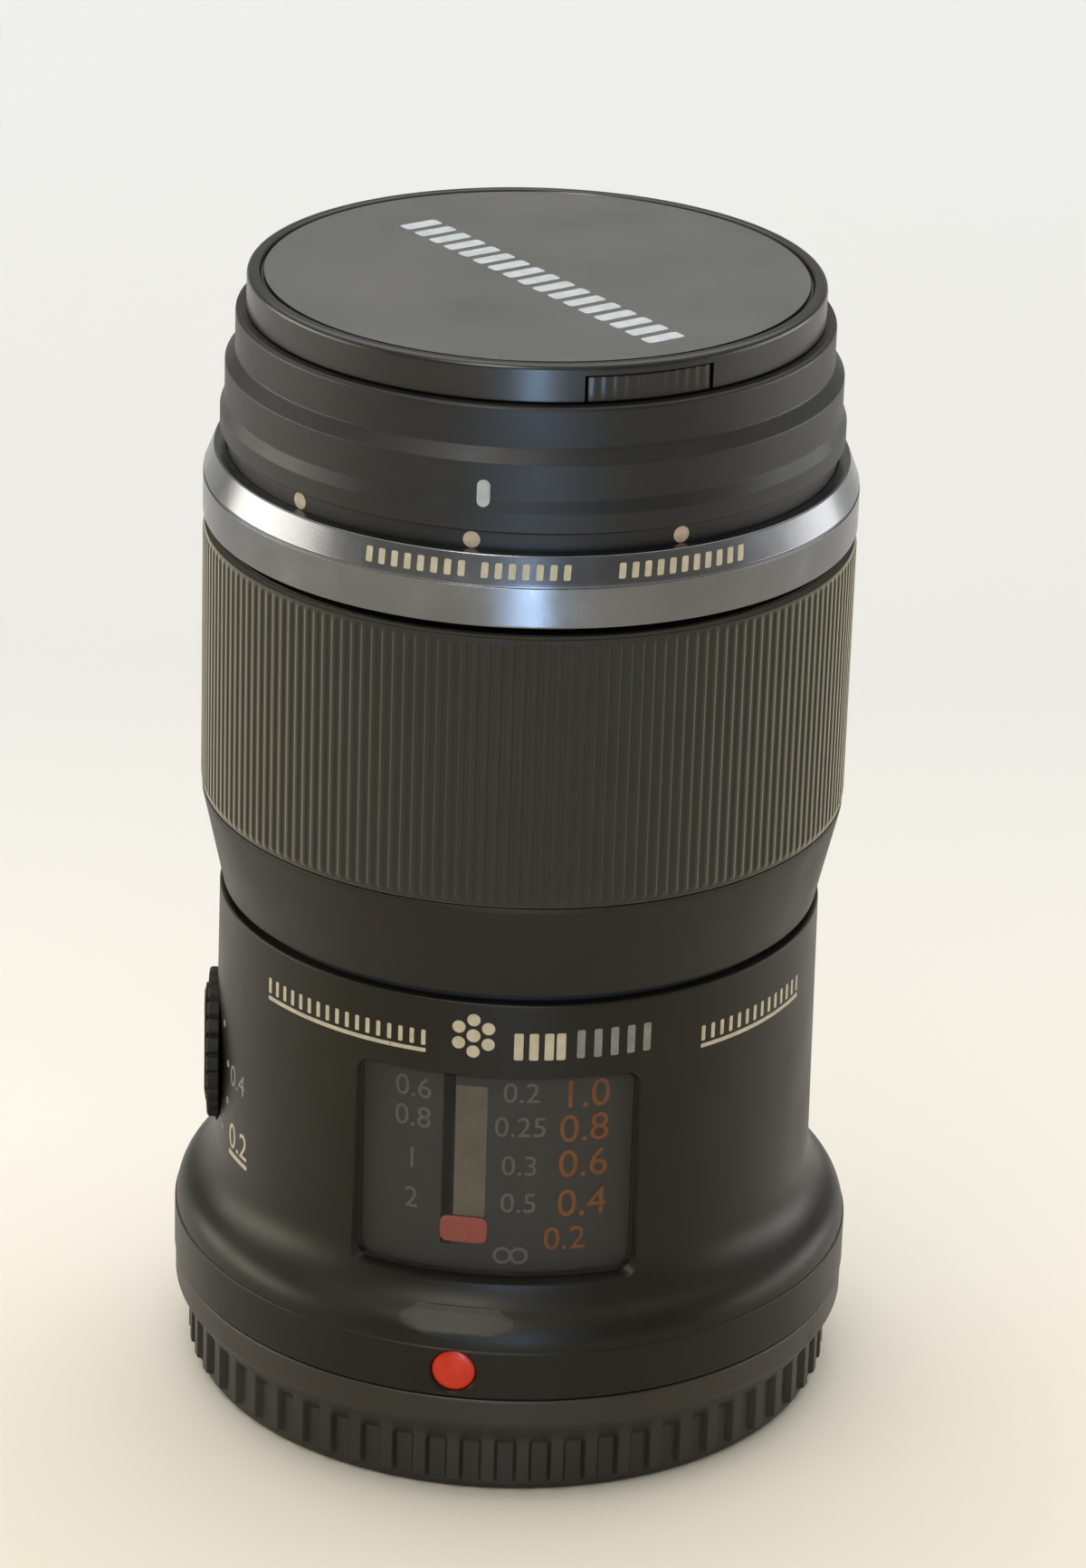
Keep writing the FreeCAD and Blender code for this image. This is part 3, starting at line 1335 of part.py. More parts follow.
def drive_ring(count):
    """The ring whose curved slots turn the blades, with a toothed sector for the pinion."""
    module = SIZES["gear_module"]
    pitch_radius = module * SIZES["ring_teeth"] / 2
    root_radius = pitch_radius - SIZES["tooth_height"] / 2 - 0.1
    tip_radius = pitch_radius + SIZES["tooth_height"] / 2
    thickness = SIZES["drive_ring_thickness"]
    foot = drive_ring_foot()
    pitch = 2 * math.pi / SIZES["ring_teeth"]
    disc = Part.makeCylinder(root_radius, thickness, UP * foot)
    contact = standard_angle(SIZES["pinion_azimuth"])
    behind = math.radians(SIZES["blade_turn"]) + 2 * pitch
    first = -int(behind / pitch)
    teeth = [extruded(gear_tooth(root_radius - 0.05, tip_radius,
                                 contact + pitch * (index + 0.5), pitch), foot, thickness)
             for index in range(first, 2)]
    blank = disc.fuse(teeth)
    cuts = [Part.makeCylinder(SIZES["drive_ring_bore"], thickness * 3, UP * (foot - thickness))]
    for index in range(count):
        cuts.append(extruded(cam_slot(2 * math.pi / count * index), foot - thickness,
                             thickness * 3))
    keep(made("iris_drive_ring", blank.cut(cuts)), "iris_drive_ring")


def iris_motor(pinion_circle):
    """The small motor under the iris base, and its pinion."""
    module = SIZES["gear_module"]
    can_top = d.iris_z - d.seat_gap
    can = post("iris_motor_can", d.iris_motor_radius, can_top - d.iris_motor_length, can_top,
               pinion_circle, d.pinion_azimuth)
    shaft_foot = can_top - d.iris_motor_length / 3
    bore = post("iris_motor_bore", d.blade_pin_radius + d.run_gap, shaft_foot - d.air_gap,
                can_top + 1, pinion_circle, d.pinion_azimuth)
    keep(carved("iris_motor", can, [bore]), "iris_motor")
    pitch_radius = module * SIZES["pinion_teeth"] / 2
    root_radius = pitch_radius - SIZES["tooth_height"] / 2 - 0.1
    tip_radius = pitch_radius + SIZES["tooth_height"] / 2
    thickness = SIZES["drive_ring_thickness"]
    foot = drive_ring_foot()
    count = int(SIZES["pinion_teeth"])
    pitch = 2 * math.pi / count
    facing = standard_angle(SIZES["pinion_azimuth"]) + math.pi
    solids = [extruded(gear_tooth(root_radius - 0.05, tip_radius, facing + pitch * index, pitch),
                       foot, thickness) for index in range(count)]
    shaft = Part.makeCylinder(SIZES["blade_pin_radius"], foot + thickness - shaft_foot.value,
                              UP * shaft_foot.value)
    wheel = Part.makeCylinder(root_radius, thickness, UP * foot).fuse(solids + [shaft])
    pinion = made("iris_pinion", wheel)
    pinion.Placement = FreeCAD.Placement(
        polar_point(pinion_circle.value, standard_angle(SIZES["pinion_azimuth"])),
        FreeCAD.Rotation())
    keep(pinion, "iris_pinion")


def electronics():
    """The main board round the rear cell, and the flex print that runs up to the iris."""
    board_top = d.board_z + d.board_thickness
    keep(turned("main_board", ring(d.board_inner_radius, d.board_outer_radius, d.board_z,
                                   board_top), d.board_sweep, d.board_azimuth), "main_board")
    flex_outer = d.board_outer_radius
    keep(turned("flex_print", ring(flex_outer - d.flex_thickness, flex_outer,
                                   board_top + d.seat_gap, d.flex_top_z),
                d.flex_sweep, d.flex_azimuth), "flex_print")


def front_cap():
    """The snap-in cap: a disc with a rim and spigot, a back plate, two tabs and springs."""
    spigot = d.filter_bore - d.cap_spigot_gap
    spigot_inner = spigot - d.cap_spigot_wall
    spigot_foot = d.cap_foot_z - d.cap_spigot_depth
    skin_foot = d.cap_top_z - d.cap_skin
    groove_foot = d.cap_top_z - d.cap_groove_depth
    body = turned("cap_turning", [
        (0, d.cap_top_z),
        (0, skin_foot),
        (spigot_inner, skin_foot),
        (spigot_inner, spigot_foot),
        (spigot, spigot_foot),
        (spigot, d.cap_foot_z),
        (d.cap_radius, d.cap_foot_z),
        (d.cap_radius, d.cap_top_z - d.cap_edge),
        (d.cap_radius - d.cap_edge, d.cap_top_z),
        (d.cap_disc_radius + d.cap_groove, d.cap_top_z),
        (d.cap_disc_radius + d.cap_groove / 2, groove_foot),
        (d.cap_disc_radius, d.cap_top_z),
    ])
    half_sweep = d.cap_tab_sweep / 2
    slot_width = (d.cap_radius * sine(half_sweep) + d.cap_tab_side_gap) * 2
    slot_near = d.cap_hub_radius + d.cap_tab_side_gap
    cuts = [block(f"cap_slot_{index}", slot_width, slot_near, d.flange_radius,
                  spigot_foot - 1, skin_foot, d.cap_tab_azimuth + 180 * index)
            for index in range(2)]
    keep(carved("front_cap_plate", body, cuts), "front_cap_plate")

    back_top = skin_foot - d.cap_slider - d.run_gap * 2
    back_foot = back_top - d.cap_back
    back = doc.addObject("PartDesign::Body", "cap_back_turning")
    revolve(back, "cap_back_turn", [
        (0, back_foot),
        (spigot_inner - d.seat_gap, back_foot),
        (spigot_inner - d.seat_gap, back_top),
        (d.cap_hub_radius, back_top),
        (d.cap_hub_radius, skin_foot - d.seat_gap),
        (d.cap_hub_radius - d.cap_back, skin_foot - d.seat_gap),
        (d.cap_hub_radius - d.cap_back, back_top),
        (0, back_top),
    ])
    hook_near = spigot_inner * cosine(half_sweep) - d.cap_tab_travel - d.air_gap
    cuts = [block(f"cap_back_slot_{index}", slot_width, hook_near, d.flange_radius,
                  back_foot - 1, back_top + 1, d.cap_tab_azimuth + 180 * index)
            for index in range(2)]
    keep(carved("front_cap_back", back, cuts), "front_cap_back")

    tab_top = skin_foot - d.run_gap
    tab_foot = back_top + d.run_gap
    tab_near = d.cap_radius - d.cap_tab_length
    spring_near = d.cap_hub_radius + d.seat_gap
    for index, side in enumerate(("near", "far")):
        azimuth = d.cap_tab_azimuth + 180 * index
        lip = turned(f"tab_{side}_lip", [
            (spigot_inner, spigot_foot + d.air_gap),
            (spigot - d.run_gap, spigot_foot + d.air_gap),
            (spigot - d.run_gap, d.cap_foot_z),
            (d.cap_radius - d.run_gap, d.cap_foot_z),
            (d.cap_radius - d.run_gap, tab_top),
            (spigot_inner, tab_top),
        ], d.cap_tab_sweep, azimuth)
        slider = block(f"tab_{side}_slider", d.cap_slider_width, tab_near,
                       spigot_inner + d.cap_spigot_wall / 2, tab_foot, tab_top, azimuth)
        keep(joined(f"pinch_tab_{side}", [lip, slider]), f"pinch_tab_{side}")
        spring = made(f"pinch_spring_{side}",
                      coil(d.cap_spring_radius.value, d.cap_spring_wire.value,
                           (tab_near - spring_near - d.seat_gap).value,
                           int(d.cap_spring_turns.value)))
        spring.Placement = lying(azimuth, spring_near, (tab_foot + tab_top) / 2)
        keep(spring, f"pinch_spring_{side}")


def lying(azimuth, distance, z):
    """Where a piece drawn along +Z goes to point outwards from a distance along a radius."""
    outwards = polar_point(1, standard_angle(azimuth.value))
    return FreeCAD.Placement(outwards * distance.value + UP * z.value,
                             FreeCAD.Rotation(UP, outwards))


def coil(radius, wire, length, turns):
    """An open coil of round wire along +Z, of the given outer radius and length."""
    middle = radius - wire
    pitch = (length - wire * 2) / turns
    helix = Part.makeHelix(pitch, length - wire * 2, middle)
    helix.translate(UP * wire)
    start = FreeCAD.Vector(middle, 0, wire)
    slope = FreeCAD.Vector(0, middle * 2 * math.pi, pitch)
    section = Part.Wire(Part.makeCircle(wire, start, slope))
    return Part.Wire(helix.Edges).makePipeShell([section], True, True)


def build():
    """Make every sub-part."""
    rear_cap()
    bayonet()
    rear_fittings()
    main_barrel()
    index_bead()
    distance_window()
    limiter_dial()
    inner_barrel()
    focus_ring()
    name_ring()
    front_barrel()
    front_trim_ring()
    glasses()
    fixed_cells()
    focus_carriage()
    float_carriage()
    guide_rods()
    focus_motor("rear_motor", "rear_lead_screw", d.rear_motor_z, d.rear_screw_top_z,
                d.rear_motor_azimuth)
    focus_motor("front_motor", "front_lead_screw", d.front_motor_z, d.front_screw_top_z,
                d.front_motor_azimuth)
    iris()
    electronics()
    front_cap()


build()
doc.recompute()

faults = []
for thing in doc.Objects:
    if "Invalid" in thing.State or "Error" in thing.State:
        faults.append(f"{thing.Label}: {thing.State}")
for thing in NODES:
    if thing.Shape.isNull() or not thing.Shape.isValid() or not thing.Shape.Solids:
        faults.append(f"{thing.Label}: bad shape")
if faults:
    raise RuntimeError("; ".join(faults))

os.makedirs("parts", exist_ok=True)
for thing in NODES:
    thing.Shape.exportStep(f"parts/{thing.Label}.step")
    box = thing.Shape.BoundBox
    print(f"{thing.Label:18s} {len(thing.Shape.Solids):2d} {thing.Shape.Volume:10.2f} "
          f"z {box.ZMin:.2f} to {box.ZMax:.2f}")
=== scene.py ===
"""Macro lens: fine surfaces, finishes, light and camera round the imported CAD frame.

Lengths are in millimetres and azimuths in degrees, counted about +Z from -Y towards +X,
as in the CAD source. Every mesh is in metres, in the frame's own place.
"""
import math
import bpy
import numpy as np
from mathutils import Matrix, Vector


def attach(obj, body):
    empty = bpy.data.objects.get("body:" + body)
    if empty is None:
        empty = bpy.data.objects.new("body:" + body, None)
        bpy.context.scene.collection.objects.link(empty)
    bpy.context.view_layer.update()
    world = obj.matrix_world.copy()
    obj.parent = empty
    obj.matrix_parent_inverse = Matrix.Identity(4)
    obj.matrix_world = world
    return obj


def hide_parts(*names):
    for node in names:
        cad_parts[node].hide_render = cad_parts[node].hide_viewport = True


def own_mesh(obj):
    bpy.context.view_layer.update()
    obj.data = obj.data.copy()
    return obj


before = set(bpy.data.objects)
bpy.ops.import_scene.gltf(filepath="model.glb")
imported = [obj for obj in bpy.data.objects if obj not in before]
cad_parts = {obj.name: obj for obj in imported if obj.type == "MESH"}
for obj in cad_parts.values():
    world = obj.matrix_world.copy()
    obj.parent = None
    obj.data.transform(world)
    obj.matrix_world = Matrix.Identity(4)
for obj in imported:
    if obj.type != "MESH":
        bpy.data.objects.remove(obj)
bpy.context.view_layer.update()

MM = 0.001
FULL = 360.0
SEGMENTS = 288
CREASE = 33.0

# sizes shared with the CAD source
REAR_FOOT = 26.25
REAR_FLOOR = 1.6
REAR_TOP = 9.1
MOUNT_Z = 9.2
FLANGE_RADIUS = 28.0
SHOULDER = (26.6, 16.0)
BARREL_FOOT = (24.7, 19.6)
BARREL_TOP = (24.45, 42.3)
WINDOW_AZIMUTH = 5.4
WINDOW_SWEEP = 53.8
WINDOW_LOW = 18.4
WINDOW_HIGH = 35.9
PANE_FACE = 24.4
PLATE_FACE = 23.0
SLOT = (20.2, 36.3)
ARM_AZIMUTH = -4.1
MARKER_AZIMUTH = -0.5
DIAL_AZIMUTH = -80.0
DIAL_Z = 27.0
DIAL_FACE = 25.65
DIAL_RADIUS = 6.2
BEAD_Z = 11.5
SKIRT_FOOT = 42.9
SEAT_RADIUS = 25.1
SEAT_TOP = 73.6
GRIP_RADIUS = 26.05
HEAD_RADIUS = 24.2
NAME_RING_FOOT = 74.4
NAME_RING_RADIUS = 26.05
NAME_RING_TOP = (25.2, 80.0)
STEP_LOWER = (24.75, 83.1)
STEP_MIDDLE = (24.4, 84.1)
STEP_MIDDLE_TOP = 86.9
FILTER_FOOT = 86.2
FILTER_BORE = 22.6
RIM_Z = 91.2
TRIM_BORE = 11.6
CAP_FOOT = 91.3
CAP_RADIUS = 22.75
CAP_SKIN_FOOT = 93.45
TAB_AZIMUTH = 31.4
TAB_SWEEP = 25.4
CAP_TOP = 94.25
CAP_DISC = 94.18


def smooth(low, high, value):
    """0 below low, 1 above high, and the cubic 3t^2 - 2t^3 between."""
    share = np.clip((value - low) / (high - low), 0.0, 1.0)
    return share * share * (3.0 - 2.0 * share)


def tooth(azimuth, count, tip, foot):
    """1 on the top of each of count even teeth, falling to 0 from half width tip to foot."""
    phase = np.abs((azimuth * count / FULL + 0.5) % 1.0 - 0.5)
    return 1.0 - smooth(tip, foot, phase)


def even_azimuths(count=SEGMENTS, low=0.0, high=FULL):
    return np.linspace(low, high, count + 1)


def tooth_azimuths(count, phases):
    """The same few places in every pitch, so that tooth edges fall on grid lines."""
    pitch = FULL / count
    around = np.concatenate([-np.array(phases[:0:-1]), phases])
    grid = (np.arange(count)[:, None] + around[None, :]).ravel() * pitch
    return np.append(grid, grid[0] + FULL)


# profiles

def arc_between(start, end, radius, steps=10):
    """Points on the short arc between two points; it turns left for a positive radius."""
    start = np.array(start)
    end = np.array(end)
    span = end - start
    left = np.array([-span[1], span[0]]) / np.hypot(*span)
    rise = math.sqrt(radius ** 2 - (span @ span) / 4) * math.copysign(1.0, radius)
    centre = (start + end) / 2 + left * rise
    first = math.atan2(*(start - centre)[::-1])
    last = math.atan2(*(end - centre)[::-1])
    swing = (last - first + math.pi) % (2 * math.pi) - math.pi
    angles = first + swing * np.linspace(0, 1, steps + 1)
    return centre + abs(radius) * np.stack([np.cos(angles), np.sin(angles)], axis=1)


def fillet_arc(before, here, after, radius):
    """The arc that touches both sides of a corner, centred on the corner's bisector."""
    back = (before - here) / np.hypot(*(before - here))
    ahead = (after - here) / np.hypot(*(after - here))
    half = math.acos(float(np.clip(back @ ahead, -1, 1))) / 2
    bisector = (back + ahead) / np.hypot(*(back + ahead))
    centre = here + bisector * radius / math.sin(half)
    start = here + back * radius / math.tan(half) - centre
    end = here + ahead * radius / math.tan(half) - centre
    first = math.atan2(start[1], start[0])
    swing = (math.atan2(end[1], end[0]) - first + math.pi) % (2 * math.pi) - math.pi
    steps = max(2, math.ceil(abs(math.degrees(swing)) / 15))
    angles = first + swing * np.linspace(0, 1, steps + 1)
    return centre + radius * np.stack([np.cos(angles), np.sin(angles)], axis=1)


def rounded(corners, closed=True):
    """A profile through corners given as (radius, height, fillet, parts of the next side).

    Each corner with a fillet becomes its arc. Each side is divided evenly into its parts
    and has a point just inside each end, so that a flat side stays flat when shaded. A
    corner may also be an array of points, which is kept as it is.
    """
    given = [(corner, 1) if isinstance(corner, np.ndarray) else
             (np.array([corner[:2]]), corner[3] if len(corner) > 3 else 1) for corner in corners]
    count = len(corners)
    joints = []
    for index, (points, _) in enumerate(given):
        fillet = 0.0 if isinstance(corners[index], np.ndarray) else (*corners[index], 0.0)[2]
        inner = closed or 0 < index < count - 1
        if fillet and inner:
            before = given[index - 1][0][-1]
            after = given[(index + 1) % count][0][0]
            points = fillet_arc(before, points[0], after, fillet)
        joints.append(points)
    lines = []
    for index, points in enumerate(joints):
        lines.append(points)
        if not closed and index == count - 1:
            break
        start = points[-1]
        end = joints[(index + 1) % count][0]
        length = np.hypot(*(end - start))
        if length < 1e-6:
            continue
        inset = min(0.06 / length, 0.25)
        shares = np.unique(np.concatenate([
            [inset, 1 - inset], np.linspace(0, 1, given[index][1] + 1)[1:-1]]))
        lines.append(start + (end - start) * shares[:, None])
    profile = np.concatenate(lines)
    return np.concatenate([profile, profile[:1]]) if closed else profile


# places: each turns (across, up, out) lengths into metres

def wrap(radius, azimuth, height):
    """x is the radius times the azimuth's sine, y is minus the radius times its cosine."""
    turn = np.radians(azimuth)
    radius, turn, height = np.broadcast_arrays(radius, turn, height)
    return np.stack([radius * np.sin(turn), -radius * np.cos(turn), height], axis=-1) * MM


def on_drum(azimuth, radius_at):
    """A sheet bent round the lens: arc length across, height up, radius plus rise out."""
    def place(across, up, out):
        radius = radius_at(up)
        return wrap(radius + out, azimuth + np.degrees(across / radius), up)
    return place


def on_plane(origin, across_axis, up_axis):
    """A flat sheet through an origin, with its third axis outwards."""
    out_axis = np.cross(across_axis, up_axis)

    def place(across, up, out):
        across, up, out = np.broadcast_arrays(across, up, out)
        return (np.array(origin) + across[..., None] * across_axis + up[..., None] * up_axis
                + out[..., None] * out_axis) * MM
    return place


def facing(azimuth, distance, height):
    """A flat upright sheet that faces outwards at an azimuth."""
    turn = math.radians(azimuth)
    out = np.array([math.sin(turn), -math.cos(turn), 0.0])
    across = np.array([math.cos(turn), math.sin(turn), 0.0])
    return on_plane(out * distance + [0, 0, height], across, np.array([0.0, 0.0, 1.0]))


def along(profile):
    """The radius of a straight-sided profile at a height."""
    heights = np.array([point[1] for point in profile])
    radii = np.array([point[0] for point in profile])
    return lambda up: np.interp(up, heights, radii)


# surfaces: each is (points, face corners, face sizes)

def weld(points, quads):
    """Join grid points that coincide, at seams and poles, and drop the corners this frees."""
    flat = np.round(points.reshape(-1, 3), 9) + 0.0
    unique, inverse = np.unique(flat, axis=0, return_inverse=True)
    quads = inverse.reshape(-1)[quads]
    repeated = quads == np.roll(quads, -1, axis=1)
    whole = quads[~repeated.any(axis=1)]
    folded = repeated.sum(axis=1) == 1
    triangles = quads[folded][~repeated[folded]].reshape(-1, 3)
    corners = np.concatenate([whole.ravel(), triangles.ravel()])
    sizes = np.concatenate([np.full(len(whole), 4), np.full(len(triangles), 3)])
    return unique, corners, sizes


def grid_quads(rows, columns):
    """Quads (i, j), (i, j+1), (i+1, j+1), (i+1, j) of a grid of points."""
    row, column = np.meshgrid(np.arange(rows - 1), np.arange(columns - 1), indexing="ij")
    first = (row * columns + column).ravel()
    return np.stack([first, first + 1, first + columns + 1, first + columns], axis=1)


def turned(profile, azimuths=None, shape=None, place=wrap):
    """A profile of (radius, height) carried round an axis; shape moves it by azimuth.

    Point (i, j) is profile point i at azimuth j. A part turn, or a coil of many turns, ends
    in the profile itself.
    """
    azimuths = even_azimuths() if azimuths is None else azimuths
    azimuth, _ = np.meshgrid(azimuths, profile[:, 0])
    radius = np.repeat(profile[:, :1], len(azimuths), axis=1)
    height = np.repeat(profile[:, 1:], len(azimuths), axis=1)
    if shape:
        radius, height = shape(radius, azimuth, height)
    points = place(radius, azimuth, height)
    surface = weld(points, grid_quads(*radius.shape))
    if abs(azimuths[-1] - azimuths[0] - FULL) > 1e-6:
        caps = [(points[:-1, 0], np.arange(len(profile) - 1)),
                (points[:-1, -1], np.arange(len(profile) - 1)[::-1])]
        surface = merged([surface] + [(p, c, np.array([len(c)])) for p, c in caps])
    return surface


def merged(surfaces):
    """Several surfaces as one, with the points that they share joined."""
    starts = np.cumsum([0] + [len(points) for points, _, _ in surfaces[:-1]])
    points = np.round(np.concatenate([surface[0] for surface in surfaces]), 9) + 0.0
    corners = np.concatenate([corner + start for (_, corner, _), start in zip(surfaces, starts)])
    sizes = np.concatenate([surface[2] for surface in surfaces])
    unique, inverse = np.unique(points, axis=0, return_inverse=True)
    return unique, inverse.reshape(-1)[corners], sizes


def round_axis_of(place):
    """Turns a place into one for turned(): radius and angle on the sheet, height out of it."""
    def turn(radius, azimuth, height):
        angle = np.radians(azimuth)
        return place(radius * np.cos(angle), radius * np.sin(angle), height)
    return turn


def slab(outline, place, low, high, edge=0.0, flare=()):
    """A closed outline filled in and given a thickness, then laid on a place.

    Row i of the grid is the outline scaled about its middle and set at a height: from
    the middle of the foot out to the side, up it, and in again over the top. flare adds
    rows of (scale, height) above the side, for a tool that widens upwards.
    """
    middle = (outline.max(axis=0) + outline.min(axis=0)) / 2
    reach = np.abs(outline - middle).max(axis=0).min()
    soft = 1 - edge / reach
    fill = [0.0, 0.25, 0.5, 0.75, 0.92]
    rows = [(scale, low) for scale in fill] + [(1.0, low)]
    rows += [(1.0, high - edge), ((1 + 2 * soft) / 3, high - edge / 3)] if edge else [(1.0, high)]
    rows += list(flare)
    top = flare[-1] if flare else (soft, high)
    rows += [top] if edge or flare else []
    rows += [(scale * top[0], top[1]) for scale in fill[::-1]]
    scales = np.array([row[0] for row in rows])
    heights = np.array([row[1] for row in rows])
    spread = middle + (outline - middle) * scales[:, None, None]
    points = place(spread[..., 0], spread[..., 1], heights[:, None] + 0 * spread[..., 0])
    return weld(points, grid_quads(*spread.shape[:2]))


def frame_slab(outline, place, low, high, inner):
    """A closed band: the outline and a smaller copy of it, inner times its size."""
    middle = (outline.max(axis=0) + outline.min(axis=0)) / 2
    scales = np.array([inner, 1.0, 1.0, inner, inner])
    heights = np.array([low, low, high, high, low])
    spread = middle + (outline - middle) * scales[:, None, None]
    points = place(spread[..., 0], spread[..., 1], heights[:, None] + 0 * spread[..., 0])
    return weld(points, grid_quads(*spread.shape[:2]))


def bar(left, right, low, high, corner=0.0, across_parts=1, up_parts=1):
    """The outline of a rectangle with rounded corners, counter-clockwise."""
    return rounded([(left, low, corner, across_parts), (right, low, corner, up_parts),
                    (right, high, corner, across_parts), (left, high, corner, up_parts)])


def round_outline(across, up, radius, stretch=1.0, steps=40):
    """A circle, or an upright oval, as an outline."""
    angle = np.linspace(0, 2 * math.pi, steps + 1)
    return np.stack([across + radius * np.cos(angle),
                     up + radius * stretch * np.sin(angle)], axis=1)


def figures(text, across, up, size, place, low=-0.02, high=0.02):
    """Plain figures of a height, centred on a point, cut from the built-in typeface.

    The flat letters are made a mesh first; their points are then laid on the place.
    """
    curve = bpy.data.curves.new("figures", "FONT")
    curve.body = text
    curve.size = size / 0.73
    curve.align_x = "CENTER"
    curve.align_y = "CENTER"
    curve.extrude = (high - low) / 2
    curve.resolution_u = 5
    holder = bpy.data.objects.new("figures", curve)
    bpy.context.scene.collection.objects.link(holder)
    graph = bpy.context.evaluated_depsgraph_get()
    mesh = bpy.data.meshes.new_from_object(holder.evaluated_get(graph))
    flat = np.empty(len(mesh.vertices) * 3, dtype=np.float32)
    mesh.vertices.foreach_get("co", flat)
    flat = flat.reshape(-1, 3).astype(float)
    corners = np.empty(len(mesh.loops), dtype=np.int32)
    mesh.loops.foreach_get("vertex_index", corners)
    sizes = np.empty(len(mesh.polygons), dtype=np.int32)
    mesh.polygons.foreach_get("loop_total", sizes)
    bpy.data.objects.remove(holder)
    bpy.data.curves.remove(curve)
    bpy.data.meshes.remove(mesh)
    points = place(flat[:, 0] + across, flat[:, 1] + up, flat[:, 2] + (low + high) / 2)
    return merged([(points, corners, sizes)])


def thing_from(name, surface):
    """A Blender object with a surface as its mesh."""
    points, corners, sizes = surface
    mesh = bpy.data.meshes.new(name)
    mesh.vertices.add(len(points))
    mesh.vertices.foreach_set("co", points.astype(np.float32).ravel())
    mesh.loops.add(len(corners))
    mesh.loops.foreach_set("vertex_index", corners.astype(np.int32))
    mesh.polygons.add(len(sizes))
    mesh.polygons.foreach_set("loop_start", (np.cumsum(sizes) - sizes).astype(np.int32))
    mesh.update(calc_edges=True)
    mesh.validate()
    thing = bpy.data.objects.new(name, mesh)
    bpy.context.scene.collection.objects.link(thing)
    return thing


def piece(name, surfaces, finish, body, stands_for=(), tools=(), crease=CREASE):
    """A finished piece: its surfaces, less its tools, with a finish, on a body."""
    thing = thing_from(name, merged(surfaces))
    for index, tool in enumerate(tools):
        cutter = thing_from(f"{name}_tool_{index}", tool)
        modifier = thing.modifiers.new("cut", "BOOLEAN")
        modifier.operation = "DIFFERENCE"
        modifier.solver = "EXACT"
        modifier.object = cutter
        graph = bpy.context.evaluated_depsgraph_get()
        mesh = bpy.data.meshes.new_from_object(thing.evaluated_get(graph))
        thing.modifiers.clear()
        thing.data = mesh
        bpy.data.objects.remove(cutter)
    thing.data.materials.clear()
    thing.data.materials.append(finish)
    thing.data.shade_smooth()
    thing.data.set_sharp_from_angle(angle=math.radians(crease))
    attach(thing, body)
    if stands_for:
        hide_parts(*stands_for)
    return thing


# finishes

def srgb(red, green, blue):
    """A linear colour from screen values of 0 to 255."""
    share = np.array([red, green, blue]) / 255
    linear = np.where(share <= 0.04045, share / 12.92, ((share + 0.055) / 1.055) ** 2.4)
    return (*linear.tolist(), 1.0)


def add(tree, kind):
    return tree.nodes.new("ShaderNode" + kind)


def noise(tree, source, size, detail=2.0, stretch=(1, 1, 1)):
    """Noise on the piece's own coordinates, with features of a size in millimetres."""
    mapping = add(tree, "Mapping")
    mapping.inputs["Scale"].default_value = [share / (size * MM) for share in stretch]
    tree.links.new(source, mapping.inputs["Vector"])
    texture = add(tree, "TexNoise")
    texture.inputs["Scale"].default_value = 1.0
    texture.inputs["Detail"].default_value = detail
    tree.links.new(mapping.outputs["Vector"], texture.inputs["Vector"])
    return texture.outputs["Fac"]


def finish(name, dark, light, patch, roughness, grain=0.2, relief=0.004, stretch=(1, 1, 1),
           **sockets):
    """A procedural finish.

    Soft noise with patches of a size mixes the dark and the light colour and moves the
    roughness between its limits. Fine noise of a grain size, drawn out where stretch is
    small, raises the surface by the relief. Any other input of the shader is given by name.
    """
    material = bpy.data.materials.new(name)
    material.use_nodes = True
    tree = material.node_tree
    shader = tree.nodes["Principled BSDF"]
    own = add(tree, "TexCoord").outputs["Object"]
    broad = noise(tree, own, patch, 4.0)
    ramp = add(tree, "ValToRGB")
    ramp.color_ramp.elements[0].position = 0.32
    ramp.color_ramp.elements[0].color = srgb(*dark)
    ramp.color_ramp.elements[1].position = 0.68
    ramp.color_ramp.elements[1].color = srgb(*light)
    tree.links.new(broad, ramp.inputs["Fac"])
    tree.links.new(ramp.outputs["Color"], shader.inputs["Base Color"])
    spread = add(tree, "MapRange")
    spread.inputs["From Min"].default_value = 0.3
    spread.inputs["From Max"].default_value = 0.7
    spread.inputs["To Min"].default_value = roughness[0]
    spread.inputs["To Max"].default_value = roughness[1]
    tree.links.new(broad, spread.inputs["Value"])
    tree.links.new(spread.outputs["Result"], shader.inputs["Roughness"])
    bump = add(tree, "Bump")
    bump.inputs["Strength"].default_value = 1.0
    bump.inputs["Distance"].default_value = relief * MM
    tree.links.new(noise(tree, own, grain, 3.0, stretch), bump.inputs["Height"])
    tree.links.new(bump.outputs["Normal"], shader.inputs["Normal"])
    for socket, value in sockets.items():
        shader.inputs[socket.replace("_", " ")].default_value = value
    return material


